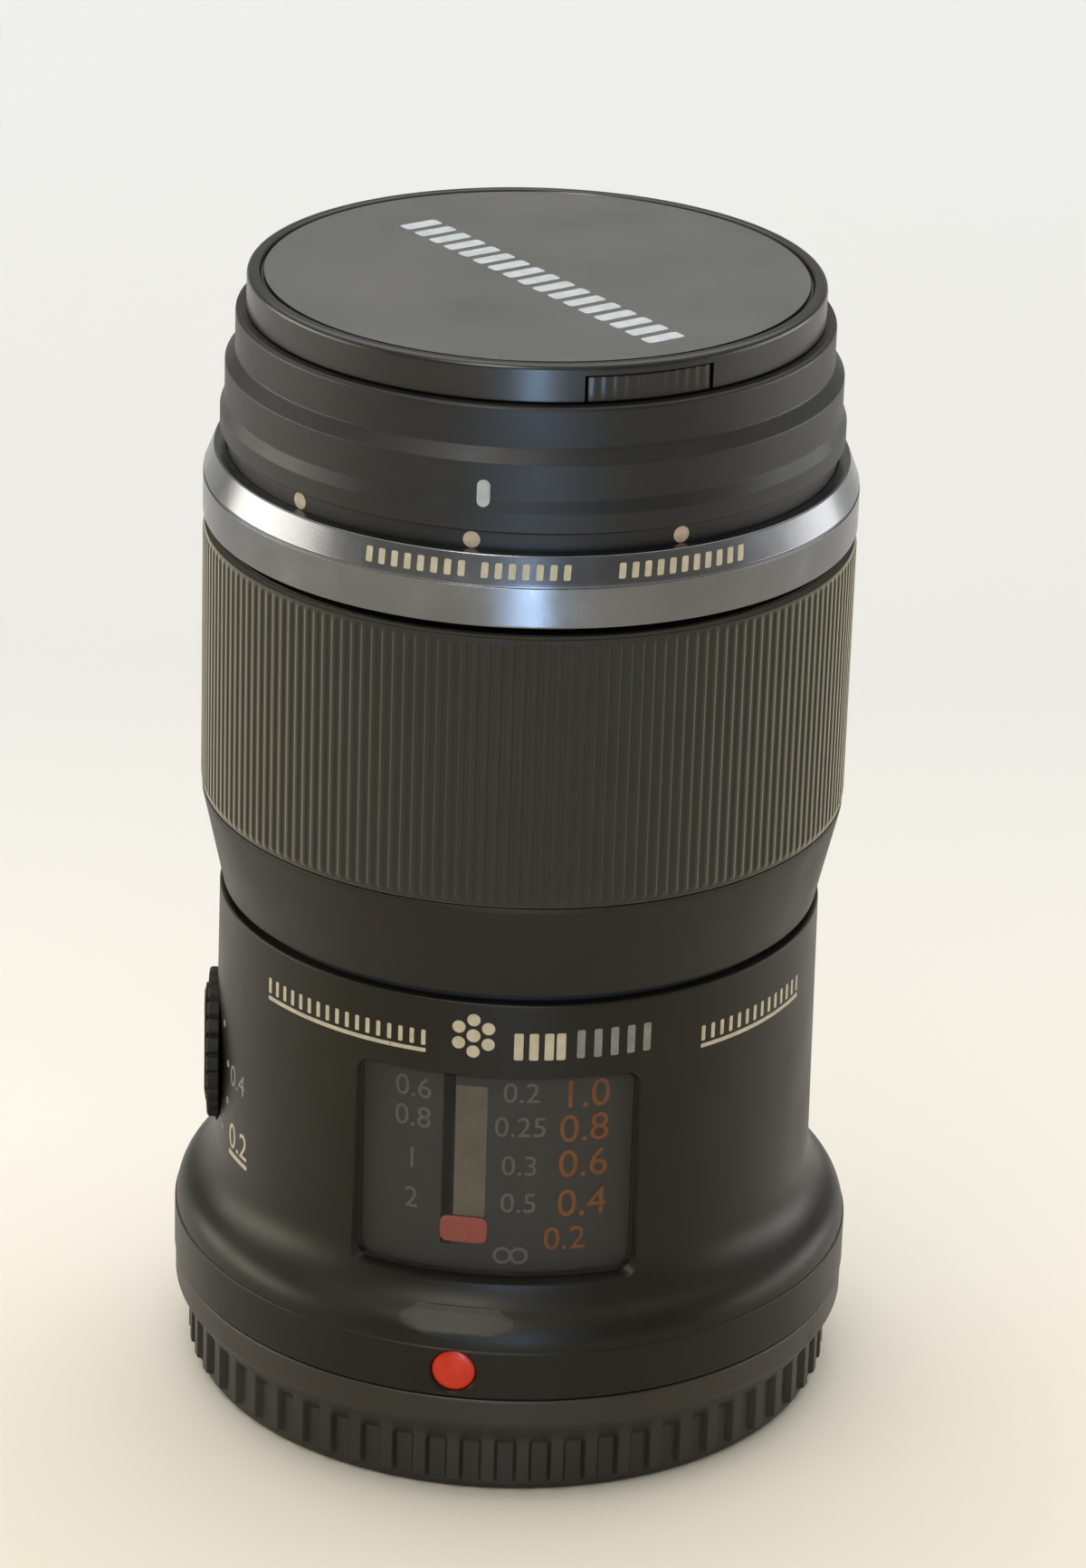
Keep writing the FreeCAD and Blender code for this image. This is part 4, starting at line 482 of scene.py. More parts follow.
WARM_GLOSS = (1.0, 0.93, 0.8, 1.0)
moulded_black = finish("moulded_black", (15, 14, 8), (23, 21, 14), 7.0, (0.40, 0.52), 0.24, 0.006,
                       Specular_IOR_Level=0.32, Specular_Tint=WARM_GLOSS)
# the rear cap's black is a lighter copy of the moulded black: painted light that lifts the rear cap
# where it sits in shade near the floor
rear_black_painted_light = finish("rear_black_painted_light", (27, 25, 19), (35, 33, 26), 7.0, (0.42, 0.54), 0.24, 0.006,
                    Specular_IOR_Level=0.5, Specular_Tint=WARM_GLOSS)
barrel_black = finish("barrel_black", (17, 16, 9), (25, 23, 15), 9.0, (0.37, 0.46), 0.18, 0.005,
                      Specular_IOR_Level=0.25, Specular_Tint=WARM_GLOSS)
front_black = finish("front_black", (18, 17, 14), (26, 25, 21), 6.0, (0.42, 0.52), 0.12, 0.003,
                     Specular_IOR_Level=0.38)
cap_black = finish("cap_black", (22, 22, 21), (30, 29, 28), 6.0, (0.27, 0.35), 0.12, 0.002,
                   Specular_IOR_Level=0.46)
inner_black = finish("inner_black", (20, 20, 20), (27, 27, 26), 5.0, (0.55, 0.7), 0.15, 0.004)
rubber = finish("ribbed_rubber", (20, 19, 11), (28, 27, 17), 4.0, (0.56, 0.7), 0.11, 0.006,
                Specular_IOR_Level=0.35, Sheen_Weight=1.0, Sheen_Roughness=0.4,
                Specular_Tint=WARM_GLOSS, Sheen_Tint=(1.0, 0.95, 0.74, 1.0))
silver = finish("anodised_silver", (106, 107, 109), (117, 118, 120), 5.0, (0.22, 0.30), 0.07,
                0.0025, (0.03, 0.03, 1), Metallic=1.0)
cap_satin = finish("cap_satin", (75, 76, 73), (84, 84, 81), 8.0, (0.46, 0.58), 0.16, 0.004)
dial_black = finish("dial_black", (24, 22, 16), (32, 30, 23), 3.0, (0.55, 0.65), 0.1, 0.003,
                    Specular_IOR_Level=0.25, Specular_Tint=WARM_GLOSS)
cream_print = finish("cream_print", (186, 177, 152), (206, 196, 170), 0.8, (0.5, 0.65), 0.05, 0.002)
pale_print = finish("pale_print", (172, 178, 182), (188, 194, 198), 0.9, (0.45, 0.6), 0.05, 0.002)
dim_print = finish("dim_print", (120, 121, 116), (140, 141, 135), 0.8, (0.5, 0.65), 0.05, 0.002)
dot_print = finish("dot_print", (204, 186, 164), (222, 204, 182), 0.6, (0.45, 0.6), 0.05, 0.002)
track_print = finish("track_print", (132, 124, 104), (148, 139, 118), 1.5, (0.6, 0.7), 0.08, 0.002)
orange_print = finish("orange_print", (172, 94, 6), (190, 108, 12), 0.8, (0.5, 0.65), 0.05,
                      0.002)
scale_black = finish("scale_black", (64, 61, 51), (70, 67, 57), 2.5, (0.6, 0.72), 0.6, 0.0003)
bead_red = finish("bead_red", (208, 34, 0), (226, 46, 2), 0.9, (0.3, 0.4), 0.12, 0.002,
                  Coat_Weight=0.12, Coat_Roughness=0.15,
                  Specular_Tint=(1.0, 0.7, 0.55, 1.0))
marker_red = finish("marker_red", (212, 98, 74), (228, 114, 88), 1.2, (0.45, 0.55), 0.08, 0.002)
clear_pane = finish("clear_pane", (16, 16, 15), (20, 20, 18), 6.0, (0.06, 0.09), 6.0, 0.0002,
                    Alpha=0.22, IOR=1.6)
coated_glass = finish("coated_glass", (236, 240, 246), (244, 244, 250), 9.0, (0.0, 0.015), 3.0,
                      0.0001, Transmission_Weight=1.0, IOR=1.62, Thin_Film_Thickness=320.0,
                      Thin_Film_IOR=1.38)
steel = finish("turned_steel", (158, 157, 153), (176, 175, 171), 4.0, (0.24, 0.34), 0.08, 0.002,
               (0.04, 0.04, 1), Metallic=1.0)
plated_steel = finish("plated_steel", (150, 151, 150), (172, 173, 172), 2.5, (0.3, 0.42), 0.12,
                      0.003, Metallic=1.0)
brass = finish("brass", (196, 160, 92), (212, 178, 108), 1.5, (0.26, 0.38), 0.08, 0.002,
               Metallic=1.0)
gold = finish("gold_plate", (222, 178, 96), (236, 196, 118), 0.6, (0.2, 0.3), 0.05, 0.001,
              Metallic=1.0)
seal_rubber = finish("seal_rubber", (22, 22, 22), (30, 30, 29), 2.0, (0.7, 0.85), 0.08, 0.006)
board_green = finish("board_green", (18, 62, 40), (30, 84, 54), 2.2, (0.32, 0.46), 0.3, 0.01)
film_amber = finish("film_amber", (150, 84, 24), (176, 104, 34), 1.8, (0.25, 0.36), 0.4, 0.004)
blade_black = finish("blade_black", (24, 24, 25), (34, 34, 35), 1.6, (0.45, 0.6), 0.06, 0.002)
slider_white = finish("slider_white", (176, 174, 166), (194, 192, 184), 2.4, (0.4, 0.52), 0.15,
                      0.003)


# rear cap

REAR_RIBS = 60
REAR_RIB_TIP = 26.75
COLLAR_TOP = 8.9
LUG_HALF_SWEEP = 23.0


def cap_ribs(radius, azimuth, height):
    """Upright ribs: the foot wall moves out to the ribs' tips where a tooth stands."""
    rise = tooth(azimuth, REAR_RIBS, 0.17, 0.27) * smooth(0.85, 1.1, height)
    rise = rise * (1 - smooth(5.9, 6.1, height))
    foot_wall = (radius > 26.0) & (radius < REAR_RIB_TIP)
    return np.where(foot_wall, radius + (REAR_RIB_TIP - radius) * rise, radius), height


rib_azimuths = tooth_azimuths(REAR_RIBS, (0, 0.1, 0.17, 0.2, 0.235, 0.27, 0.38))
foot_wall = np.array([[REAR_FOOT, z] for z in (0.85, 0.93, 1.02, 1.1, 2.0, 3.0, 3.8)])
cup = rounded([
    (0, 0, 0, 3), (REAR_FOOT, 0, 0.6), foot_wall, (REAR_FOOT, 4.4, 0.5, 5),
    (27.9, 6.8, 0.6, 2), (27.9, REAR_TOP, 0.25), (26.4, REAR_TOP, 0.12), (26.4, 6.8, 0.4),
    (24.75, 4.4, 0.4), (24.75, REAR_FLOOR, 0.2), (23.5, REAR_FLOOR, 0.2),
    (23.5, COLLAR_TOP, 0.12), (22.3, COLLAR_TOP, 0.12), (22.3, REAR_FLOOR, 0.2, 2),
    (0, REAR_FLOOR)], closed=False)
lug = rounded([(19.3, 7.0, 0.1), (22.9, 7.0), (22.9, COLLAR_TOP), (19.3, COLLAR_TOP, 0.1)])
lugs = [turned(lug, even_azimuths(24, middle - LUG_HALF_SWEEP, middle + LUG_HALF_SWEEP))
        for middle in (0, 120, 240)]
# the rear cap takes the lighter black, with its painted light
piece("rear_cap_shell", [turned(cup, rib_azimuths, cap_ribs)] + lugs, rear_black_painted_light, "rear_cap",
      ["rear_cap"])


# main barrel

BARREL_BORE = 23.5
WEB_BORE = 15.6
WEB = (10.7, 12.7)
WINDOW_RADIUS = 24.6
LAND_DEPTH = 0.3

drum = along([BARREL_FOOT, BARREL_TOP])
casing = rounded([
    (WEB_BORE, WEB[0], 0.1, 3), (25.63, WEB[0]), (25.63, 10.28), (26.96, 10.28),
    (26.96, MOUNT_Z), (FLANGE_RADIUS, MOUNT_Z, 0.25, 3), (FLANGE_RADIUS, 13.38, 0.22),
    arc_between((27.86, 13.5), SHOULDER, 3.2, 8),
    arc_between(SHOULDER, BARREL_FOOT, -5.4, 10)[1:],
    (24.66, 23.0, 0, 4), (24.6, 28.6, 0, 4), (24.54, 34.2, 0, 6), (*BARREL_TOP, 0.2),
    (BARREL_BORE, BARREL_TOP[1], 0.1, 4), (BARREL_BORE, WEB[1], 0.15, 2),
    (WEB_BORE, WEB[1], 0.1)])
window_reach = math.radians(WINDOW_SWEEP / 2) * WINDOW_RADIUS
window_outline = bar(-window_reach, window_reach, WINDOW_LOW, WINDOW_HIGH, 1.3, 44, 30)
window_seat = on_drum(WINDOW_AZIMUTH, lambda up: WINDOW_RADIUS + 0 * up)
opening = slab(window_outline, window_seat, -2.2, -0.35, flare=[(1.0, -0.32), (1.045, 0.5)])
dial_sheet = facing(DIAL_AZIMUTH, 0, DIAL_Z)
dial_axis = round_axis_of(dial_sheet)
dial_seat = turned(rounded([(0, 24.15), (6.5, 24.15, 0.15), (6.5, 24.3), (6.75, 30), (0, 30)],
                           closed=False), even_azimuths(96), place=dial_axis)
dial_bore = turned(rounded([(0, 20), (2.1, 20), (2.1, 25), (0, 25)], closed=False),
                   even_azimuths(48), place=dial_axis)
bead_sheet = facing(0, 0, BEAD_Z)
bead_axis = round_axis_of(bead_sheet)
bead_hole = turned(rounded([(0, 27.2), (1.8, 27.2), (1.8, 27.75), (2.15, 28.2), (0, 28.2)],
                           closed=False), even_azimuths(64), place=bead_axis)
slope = math.radians(40.0)
land_middle = (0, -27.13 + LAND_DEPTH * math.cos(slope), 15.5 - LAND_DEPTH * math.sin(slope))
land_sheet = on_plane(land_middle, np.array([1.0, 0, 0]),
                      np.array([0, math.sin(slope), math.cos(slope)]))
land = slab(bar(-6, 6, -1.4, 1.4, 0.9), land_sheet, 0.0, 2.0)
piece("barrel_casing", [turned(casing)], barrel_black, "lens_body", ["main_barrel"],
      [opening, dial_seat, dial_bore, bead_hole, land])

bead = rounded([(0, 27.23), (1.75, 27.23, 0.1), (1.75, 27.7, 0.1),
                arc_between((1.6, 27.78), (0, FLANGE_RADIUS), 5.93, 8)], closed=False)
piece("index_bead_red", [turned(bead, even_azimuths(64), place=bead_axis)], bead_red,
      "lens_body", ["index_bead"])

# window, scale and marker

pane_outline = bar(-window_reach + 0.06, window_reach - 0.06, WINDOW_LOW + 0.04,
                   WINDOW_HIGH - 0.04, 1.26, 44, 30)
pane_seat = on_drum(WINDOW_AZIMUTH, lambda up: PANE_FACE + 0 * up)
pane = slab(pane_outline, pane_seat, -0.55, 0, 0.08)
piece("window_pane", [pane], clear_pane, "lens_body", ["scale_window"])

plate_reach = math.radians(31.0) * PLATE_FACE
plate_drum = on_drum(0.0, lambda up: PLATE_FACE + 0 * up)
plate_seat = on_drum(WINDOW_AZIMUTH, lambda up: PLATE_FACE + 0 * up)
plate = slab(bar(-plate_reach, plate_reach, 17.1, 37.2, 0.5, 40, 4), plate_seat, -0.4, 0)
slot = slab(bar(-0.5, 0.5, *SLOT, 0.3), facing(ARM_AZIMUTH, 0, 0), 20, 25)
piece("scale_plate_black", [plate], scale_black, "lens_body", ["scale_plate"], [slot])


SCALE_PRINT = (-0.01, 0.03)


def plate_across(azimuth):
    """The arc length to an azimuth on the scale plate."""
    return math.radians(azimuth) * PLATE_FACE


def column(texts, azimuth, heights, size):
    """Figures one above another on the scale plate."""
    return [figures(text, plate_across(azimuth), height, size, plate_drum, *SCALE_PRINT)
            for text, height in zip(texts, heights)]


piece("scale_feet", column(["0.6", "0.8", "1", "2"], -11.5, [33.6, 31.0, 27.3, 23.8], 1.9),
      dim_print, "lens_body")
far_sign = [frame_slab(round_outline(plate_across(8.9) + side, 19.6, 0.75), plate_drum,
                       *SCALE_PRINT, 0.66) for side in (-0.66, 0.66)]
piece("scale_metres",
      column(["0.2", "0.25", "0.3", "0.5"], 10.2, [33.9, 30.9, 27.5, 24.2], 1.8) + far_sign,
      dim_print, "lens_body")
piece("scale_ratios", column(["1.0", "0.8", "0.6", "0.4"], 22.9, [33.7, 30.7, 27.6, 24.1], 2.5)
      + column(["0.2"], 19.6, [21.0], 2.1), orange_print, "lens_body")
track = slab(bar(-1.1, 1.42, 22.9, 34.4, 0.12, 6), plate_drum, -0.01, 0.02)
piece("scale_track", [track], track_print, "lens_body")
marker_face = facing(MARKER_AZIMUTH, 23.1, 21.8)
piece("distance_marker_red", [slab(bar(-1.9, 1.9, -1.1, 1.1, 0.6), marker_face, 0, 0.25, 0.06)],
      marker_red, "focus_carriage", ["distance_marker"])

# limiter dial

NOTCH_PITCH = 15.0
NOTCH_DEPTH = 0.34
KNOB_FACE = 25.3


def dial_notches(radius, azimuth, height):
    """Scallops round the knob: its rim moves in by a smooth dip at each."""
    phase = np.abs((azimuth / NOTCH_PITCH + 0.5) % 1 - 0.5)
    dip = NOTCH_DEPTH * (1 - smooth(0.02, 0.22, phase))
    return np.where(radius > 5.9, radius - dip, radius), height


knob = rounded([(0, 20.2), (2.0, 20.2, 0.15), (2.0, 24.27), (DIAL_RADIUS, 24.27, 0.12),
                (DIAL_RADIUS, KNOB_FACE, 0.25), (4.6, KNOB_FACE), (4.45, 25.2), (0, 25.2)],
               closed=False)
grip_bar = slab(bar(-0.8, 0.8, -5.3, 5.3, 0.7), dial_sheet, 25.1, DIAL_FACE - 0.02, 0.14)
piece("limiter_knob", [turned(knob, even_azimuths(288), dial_notches, dial_axis), grip_bar],
      dial_black, "limiter_dial", ["limiter_dial"])
piece("limiter_line",
      [slab(bar(-0.16, 0.16, 2.0, 4.8, 0.15), dial_sheet, DIAL_FACE - 0.05, DIAL_FACE)],
      pale_print, "limiter_dial")

# focus ring

CORE_BORE = 23.48
LIP_RADIUS = 25.95
LIP_TOP = 51.2
GRIP_RIBS = 180
GRIP_RIB_HEIGHT = 0.11

core = rounded([
    (CORE_BORE, SKIRT_FOOT, 0.08), (24.2, SKIRT_FOOT, 0.15, 2), (LIP_RADIUS, 50.8, 0.3),
    (LIP_RADIUS, LIP_TOP, 0.08), (SEAT_RADIUS, LIP_TOP), (SEAT_RADIUS, SEAT_TOP, 0.1),
    (CORE_BORE, SEAT_TOP, 0.08)])
piece("focus_ring_skirt", [turned(core)], moulded_black, "focus_ring", ["focus_ring_core"])


def grip_ribs(radius, azimuth, height):
    """Upright rubber ribs: the wall lies back between teeth that fade at both ends."""
    rib = tooth(azimuth, GRIP_RIBS, 0.16, 0.36) * smooth(51.5, 52.0, height)
    rib = rib * (1 - smooth(72.9, 73.3, height))
    return np.where(radius > 25.9, radius - GRIP_RIB_HEIGHT * (1 - rib), radius), height


sleeve = rounded([(25.13, 51.24, 0.1), (GRIP_RADIUS, 51.24, 0.2, 1),
                  np.array([[GRIP_RADIUS, z] for z in (51.6, 51.75, 51.9, 52.05)]),
                  (GRIP_RADIUS, 57.0), (GRIP_RADIUS, 62.0), (GRIP_RADIUS, 67.0),
                  np.array([[GRIP_RADIUS, z] for z in (72.8, 72.95, 73.1, 73.25)]),
                  (GRIP_RADIUS, 73.49, 0.15), (25.13, 73.49, 0.1)])
grip_azimuths = tooth_azimuths(GRIP_RIBS, (0, 0.16, 0.23, 0.29, 0.36))
piece("focus_grip_rubber", [turned(sleeve, grip_azimuths, grip_ribs)], rubber, "focus_ring",
      ["focus_grip"])

# name ring

BAND_BORE = 24.23
BAND_GROOVE = 25.93
silver_band = rounded([
    (BAND_BORE, NAME_RING_FOOT, 0.08), (NAME_RING_RADIUS, NAME_RING_FOOT, 0.18, 2),
    (NAME_RING_RADIUS, 77.62, 0.05), (BAND_GROOVE, 77.7, 0.04), (BAND_GROOVE, 77.82, 0.04),
    (26.02, 77.9, 0.05, 2), (*NAME_RING_TOP, 0.15), (BAND_BORE, NAME_RING_TOP[1], 0.08)])
piece("name_ring_silver", [turned(silver_band)], silver, "lens_body", ["name_ring"])

# front barrel

THREAD_PITCH = 0.75
THREAD_DEPTH = 0.3


def filter_thread(radius, azimuth, height):
    """A one-start helix in the mouth's bore: the wall moves out by a triangle wave of the
    height over the pitch less the share of a turn, fading at both ends."""
    phase = (height / THREAD_PITCH - azimuth / FULL) % 1.0
    depth = THREAD_DEPTH * (1 - np.abs(2 * phase - 1)) * smooth(86.5, 86.9, height)
    depth = depth * (1 - smooth(90.3, 90.8, height))
    bore = (np.abs(radius - FILTER_BORE) < 0.01) & (height > FILTER_FOOT + 0.1)
    return np.where(bore, radius + depth, radius), height


FRONT_BORE = 21.0
SPIGOT = (22.87, 76.0)
UPPER_STEP = 23.6
steps = rounded([
    (FRONT_BORE, SPIGOT[1], 0.08), (*SPIGOT, 0.08), (SPIGOT[0], 79.83),
    (HEAD_RADIUS, 79.83, 0.05), (HEAD_RADIUS, 81.4, 0.12), (STEP_LOWER[0], 81.6, 0.12),
    (*STEP_LOWER, 0.2), (*STEP_MIDDLE, 0.2), (STEP_MIDDLE[0], STEP_MIDDLE_TOP, 0.25),
    (UPPER_STEP, 88.0, 0.3), (UPPER_STEP, RIM_Z, 0.35), (FILTER_BORE, RIM_Z, 0.1, 40),
    (FILTER_BORE, FILTER_FOOT, 0), (FRONT_BORE, FILTER_FOOT, 0.08)])
piece("front_barrel_steps", [turned(steps, None, filter_thread)], front_black, "lens_body",
      ["front_barrel"])
BAFFLE_STEPS = 27
BAFFLE_STEP = 0.13
TRIM_SHELF = 19.2
TRIM_DROP = 2.2
baffle_radii = np.linspace(19.0, 11.9, BAFFLE_STEPS)
baffle_fall = (TRIM_SHELF - baffle_radii) * TRIM_DROP / (TRIM_SHELF - TRIM_BORE)
baffle = np.stack([baffle_radii, FILTER_FOOT - baffle_fall
                   - BAFFLE_STEP * (np.arange(BAFFLE_STEPS) % 2)], axis=1)
dish = rounded([(TRIM_BORE, 83.1, 0.05), (20.97, 85.3), (20.97, FILTER_FOOT, 0.1),
                (19.3, FILTER_FOOT), baffle, (TRIM_BORE, 84.0, 0.1)])
piece("front_trim_dish", [turned(dish)], inner_black, "lens_body", ["front_trim_ring"])


def glass_face(vertex, curve, reach=11.2):
    """The profile of a spherical face: its vertex height, its radius and its reach."""
    across = np.linspace(0, reach, 22)
    return np.stack([across, vertex - (curve - np.sqrt(curve ** 2 - across ** 2))], axis=1)


front_glass = np.concatenate([glass_face(81.4, 170), glass_face(84.6, 32)[::-1]])
piece("front_glass", [turned(front_glass, even_azimuths(128))], coated_glass, "lens_body",
      ["lens_01"])

# front cap

CAP_INNER = 21.15
CAP_GROOVE_FOOT = CAP_TOP - 0.4
DISC_RADIUS = 21.4
cap_profile = rounded([
    (0, CAP_SKIN_FOOT, 0, 2), (CAP_INNER, CAP_SKIN_FOOT), (CAP_INNER, 88.3, 0.1),
    (22.35, 88.3, 0.3), (22.35, CAP_FOOT), (CAP_RADIUS, CAP_FOOT, 0.12),
    (CAP_RADIUS, CAP_TOP, 0.45), (21.8, CAP_TOP, 0.25), (21.6, CAP_GROOVE_FOOT),
    (21.45, CAP_GROOVE_FOOT), (DISC_RADIUS, CAP_DISC, 0.06, 4), (0, CAP_DISC)], closed=False)
tab_slots = [slab(bar(-5.26, 5.26, 87.0, CAP_SKIN_FOOT), facing(TAB_AZIMUTH + turn, 0, 0),
                  10.75, 28) for turn in (0, 180)]
cap_plate = piece("cap_plate", [turned(cap_profile)], cap_black, "front_cap",
                  ["front_cap_plate"], tab_slots)


TAB_RIDGE_DIP = 0.035
TAB_RIDGE_PITCH = 2.3
TAB_TOP = 93.37


def tab_ridges(radius, azimuth, height):
    """Upright finger ridges on the tab's rim: its wall dips in by a cosine of the azimuth."""
    wave = np.cos(2 * math.pi * (azimuth - TAB_AZIMUTH) / TAB_RIDGE_PITCH)
    dip = TAB_RIDGE_DIP * (1 - wave)
    return np.where((radius > 22.55) & (height > 91.5), radius - dip, radius), height


tab_lip = rounded([
    (CAP_INNER, 88.6, 0.1), (22.27, 88.6, 0.3), (22.27, CAP_FOOT), (22.67, CAP_FOOT, 0.1, 3),
    (22.67, TAB_TOP, 0.15), (CAP_INNER, TAB_TOP)])
for turn, side in ((0, "near"), (180, "far")):
    azimuths = even_azimuths(88, TAB_AZIMUTH + turn - TAB_SWEEP / 2,
                             TAB_AZIMUTH + turn + TAB_SWEEP / 2)
    slider = slab(bar(-4, 4, 92.07, TAB_TOP, 0.15), facing(TAB_AZIMUTH + turn, 0, 0),
                  15.95, 21.7)
    piece(f"pinch_tab_{side}_moulding", [turned(tab_lip, azimuths, tab_ridges), slider],
          cap_black, f"pinch_tab_{side}", [f"pinch_tab_{side}"])

# springs of the pinch tabs: a wire's round section wound out along the tab's own line

SPRING_START = 10.55
SPRING_END = 15.85
SPRING_TURNS = 7
SPRING_RADIUS = 0.45
SPRING_Z = 92.72
WIRE_RADIUS = 0.1


def winding(radius, azimuth, height):
    """The height grows evenly with the azimuth, from the first turn to the last."""
    pitch = (SPRING_END - SPRING_START - 2 * WIRE_RADIUS) / SPRING_TURNS
    return radius, height + pitch * azimuth / FULL


wire_section = round_outline(SPRING_RADIUS, SPRING_START + WIRE_RADIUS, WIRE_RADIUS, steps=10)
coil_azimuths = even_azimuths(24 * SPRING_TURNS, 0, FULL * SPRING_TURNS)
for turn, side in ((0, "near"), (180, "far")):
    tab_line = facing(TAB_AZIMUTH + turn, 0, SPRING_Z)
    coil = turned(wire_section[::-1], coil_azimuths, winding, round_axis_of(tab_line))
    spring = piece(f"pinch_spring_{side}_coil", [coil], plated_steel, "front_cap",
                   [f"pinch_spring_{side}"])
    outwards = tab_line(np.array(0.0), np.array(0.0), np.array(1.0)) / MM - [0, 0, SPRING_Z]
    tab_line(np.array(0.0), np.array(0.0), np.array(SPRING_START)).tolist()
    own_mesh(spring)

# printed marks

PRINT = (-0.02, 0.02)
PRINT_RADIUS = 24.5
BAND_PRINT_RADIUS = 25.6


def arc(azimuth, radius=PRINT_RADIUS):
    """The arc length to an azimuth on a drum."""
    return math.radians(azimuth) * radius


def drum_bar(low_azimuth, high_azimuth, low, high, corner, radius=PRINT_RADIUS):
    """The outline of a bar between two azimuths on a drum."""
    parts = max(1, round(high_azimuth - low_azimuth))
    return bar(arc(low_azimuth, radius), arc(high_azimuth, radius), low, high, corner, parts)


barrel_wall = on_drum(0.0, drum)


def ruler(low_azimuth, high_azimuth, base, height, count):
    """A graduated line: a thin bar with even upright ticks on it."""
    marks = [slab(drum_bar(low_azimuth, high_azimuth, base, base + 0.34, 0.1), barrel_wall, *PRINT)]
    for azimuth in np.linspace(low_azimuth + 0.5, high_azimuth - 0.5, count):
        tick = drum_bar(azimuth - 0.42, azimuth + 0.42, base + 0.6, base + height, 0.1)
        marks.append(slab(tick, barrel_wall, *PRINT))
    return marks


FLOWER = (arc(0.9), 39.5)
FLOWER_RADIUS = 1.35
petals = [slab(round_outline(FLOWER[0] + FLOWER_RADIUS * math.cos(turn),
                             FLOWER[1] + FLOWER_RADIUS * math.sin(turn), 0.52),
               barrel_wall, *PRINT) for turn in np.radians(np.arange(0, 360, 60) + 30)]
centre_dot = slab(round_outline(*FLOWER, 0.55), barrel_wall, *PRINT)
bars = [slab(drum_bar(azimuth, azimuth + 1.7, 37.6, 39.9, 0.15), barrel_wall, *PRINT)
        for azimuth in (8.4, 11.2, 14.0, 16.2)]
dim_bars = [slab(drum_bar(azimuth, azimuth + 1.5, 37.7, 40.1, 0.15), barrel_wall, *PRINT)
            for azimuth in (20.0, 23.2, 26.4, 29.6, 32.8)]
piece("barrel_marks", ruler(-45, -8, 37.6, 1.9, 17) + petals + [centre_dot] + bars
      + ruler(45.4, 76, 36.8, 1.9, 14), cream_print, "lens_body")
piece("barrel_marks_dim", dim_bars, dim_print, "lens_body")

silver_slope = on_drum(0.0, along([(26.03, 77.85), NAME_RING_TOP]))
ring_marks = []
for low_azimuth, high_azimuth in ((-20.3, -2.4), (0.4, 15.6), (23.9, 47.9)):
    count = round((high_azimuth - low_azimuth) / 2.2)
    for azimuth in np.linspace(low_azimuth, high_azimuth - 1.2, count):
        stroke = drum_bar(azimuth, azimuth + 1.2, 78.3, 79.4, 0.12, BAND_PRINT_RADIUS)
        ring_marks.append(slab(stroke, silver_slope, *PRINT))
piece("name_ring_marks", ring_marks, cream_print, "lens_body")

groove_wall = on_drum(0.0, lambda up: HEAD_RADIUS + 0 * up)
hood_dots = [slab(round_outline(arc(azimuth, HEAD_RADIUS), 80.68, 0.66), groove_wall, *PRINT)
             for azimuth in (-2.0, 36.7, -38.4)]
piece("hood_dots", hood_dots, dot_print, "lens_body")
front_wall = on_drum(0.0, along([STEP_LOWER, STEP_MIDDLE, (STEP_MIDDLE[0], STEP_MIDDLE_TOP)]))
piece("hood_index", [slab(bar(-0.5, 0.5, 83.5, 85.6, 0.48, 1, 4), front_wall, *PRINT)],
      pale_print, "lens_body")

label_wall = on_drum(-57.0, drum)
dial_marks = [figures("0.4", 0.0, 28.0, 1.9, label_wall)]
piece("dial_range_mark", [figures("0.2", 0.3, 22.6, 2.3, label_wall),
                          slab(bar(-1.6, 2.2, 20.9, 21.3, 0.15, 4), label_wall, *PRINT)],
      cream_print, "lens_body")
TICK_CIRCLE = 7.6
dial_ticks = []
for angle in np.radians([-38, -13, 12, 37]):
    middle = np.array([math.cos(angle), math.sin(angle)]) * TICK_CIRCLE
    dial_ticks.append(slab(round_outline(arc(DIAL_AZIMUTH) + middle[0], DIAL_Z + middle[1], 0.32),
                           barrel_wall, *PRINT))
piece("dial_figures", dial_marks + dial_ticks, dim_print, "lens_body")

cap_bar_ends = np.array([[-11.5, 10.5], [12.2, -14.0]])
bar_span = cap_bar_ends[1] - cap_bar_ends[0]
bar_length = float(np.hypot(*bar_span))
bar_axis = np.array([*(bar_span / bar_length), 0.0])
bar_sheet = on_plane((*cap_bar_ends.mean(axis=0), CAP_DISC), bar_axis,
                     np.array([-bar_axis[1], bar_axis[0], 0.0]))
STROKES = 17
strokes = [slab(bar(middle - 0.66, middle + 0.66, -1.7, 1.7, 0.3), bar_sheet, *PRINT)
           for middle in np.linspace(-bar_length / 2 + 0.7, bar_length / 2 - 0.7, STROKES)]
piece("cap_bar_mark", strokes, pale_print, "front_cap")

# the satin disc in the middle of the cap: the faces inside its groove take their own finish
cap_mesh = cap_plate.data
cap_mesh.materials.append(cap_satin)
middles = np.empty(len(cap_mesh.polygons) * 3, dtype=np.float32)
cap_mesh.polygons.foreach_get("center", middles)
middles = middles.reshape(-1, 3) / MM
from_axis = np.hypot(middles[:, 0], middles[:, 1])
on_disc = (from_axis < DISC_RADIUS + 0.02) & (middles[:, 2] > CAP_DISC - 0.03)
cap_mesh.polygons.foreach_set("material_index", on_disc.astype(np.int32))

# the CAD nodes that show as they are

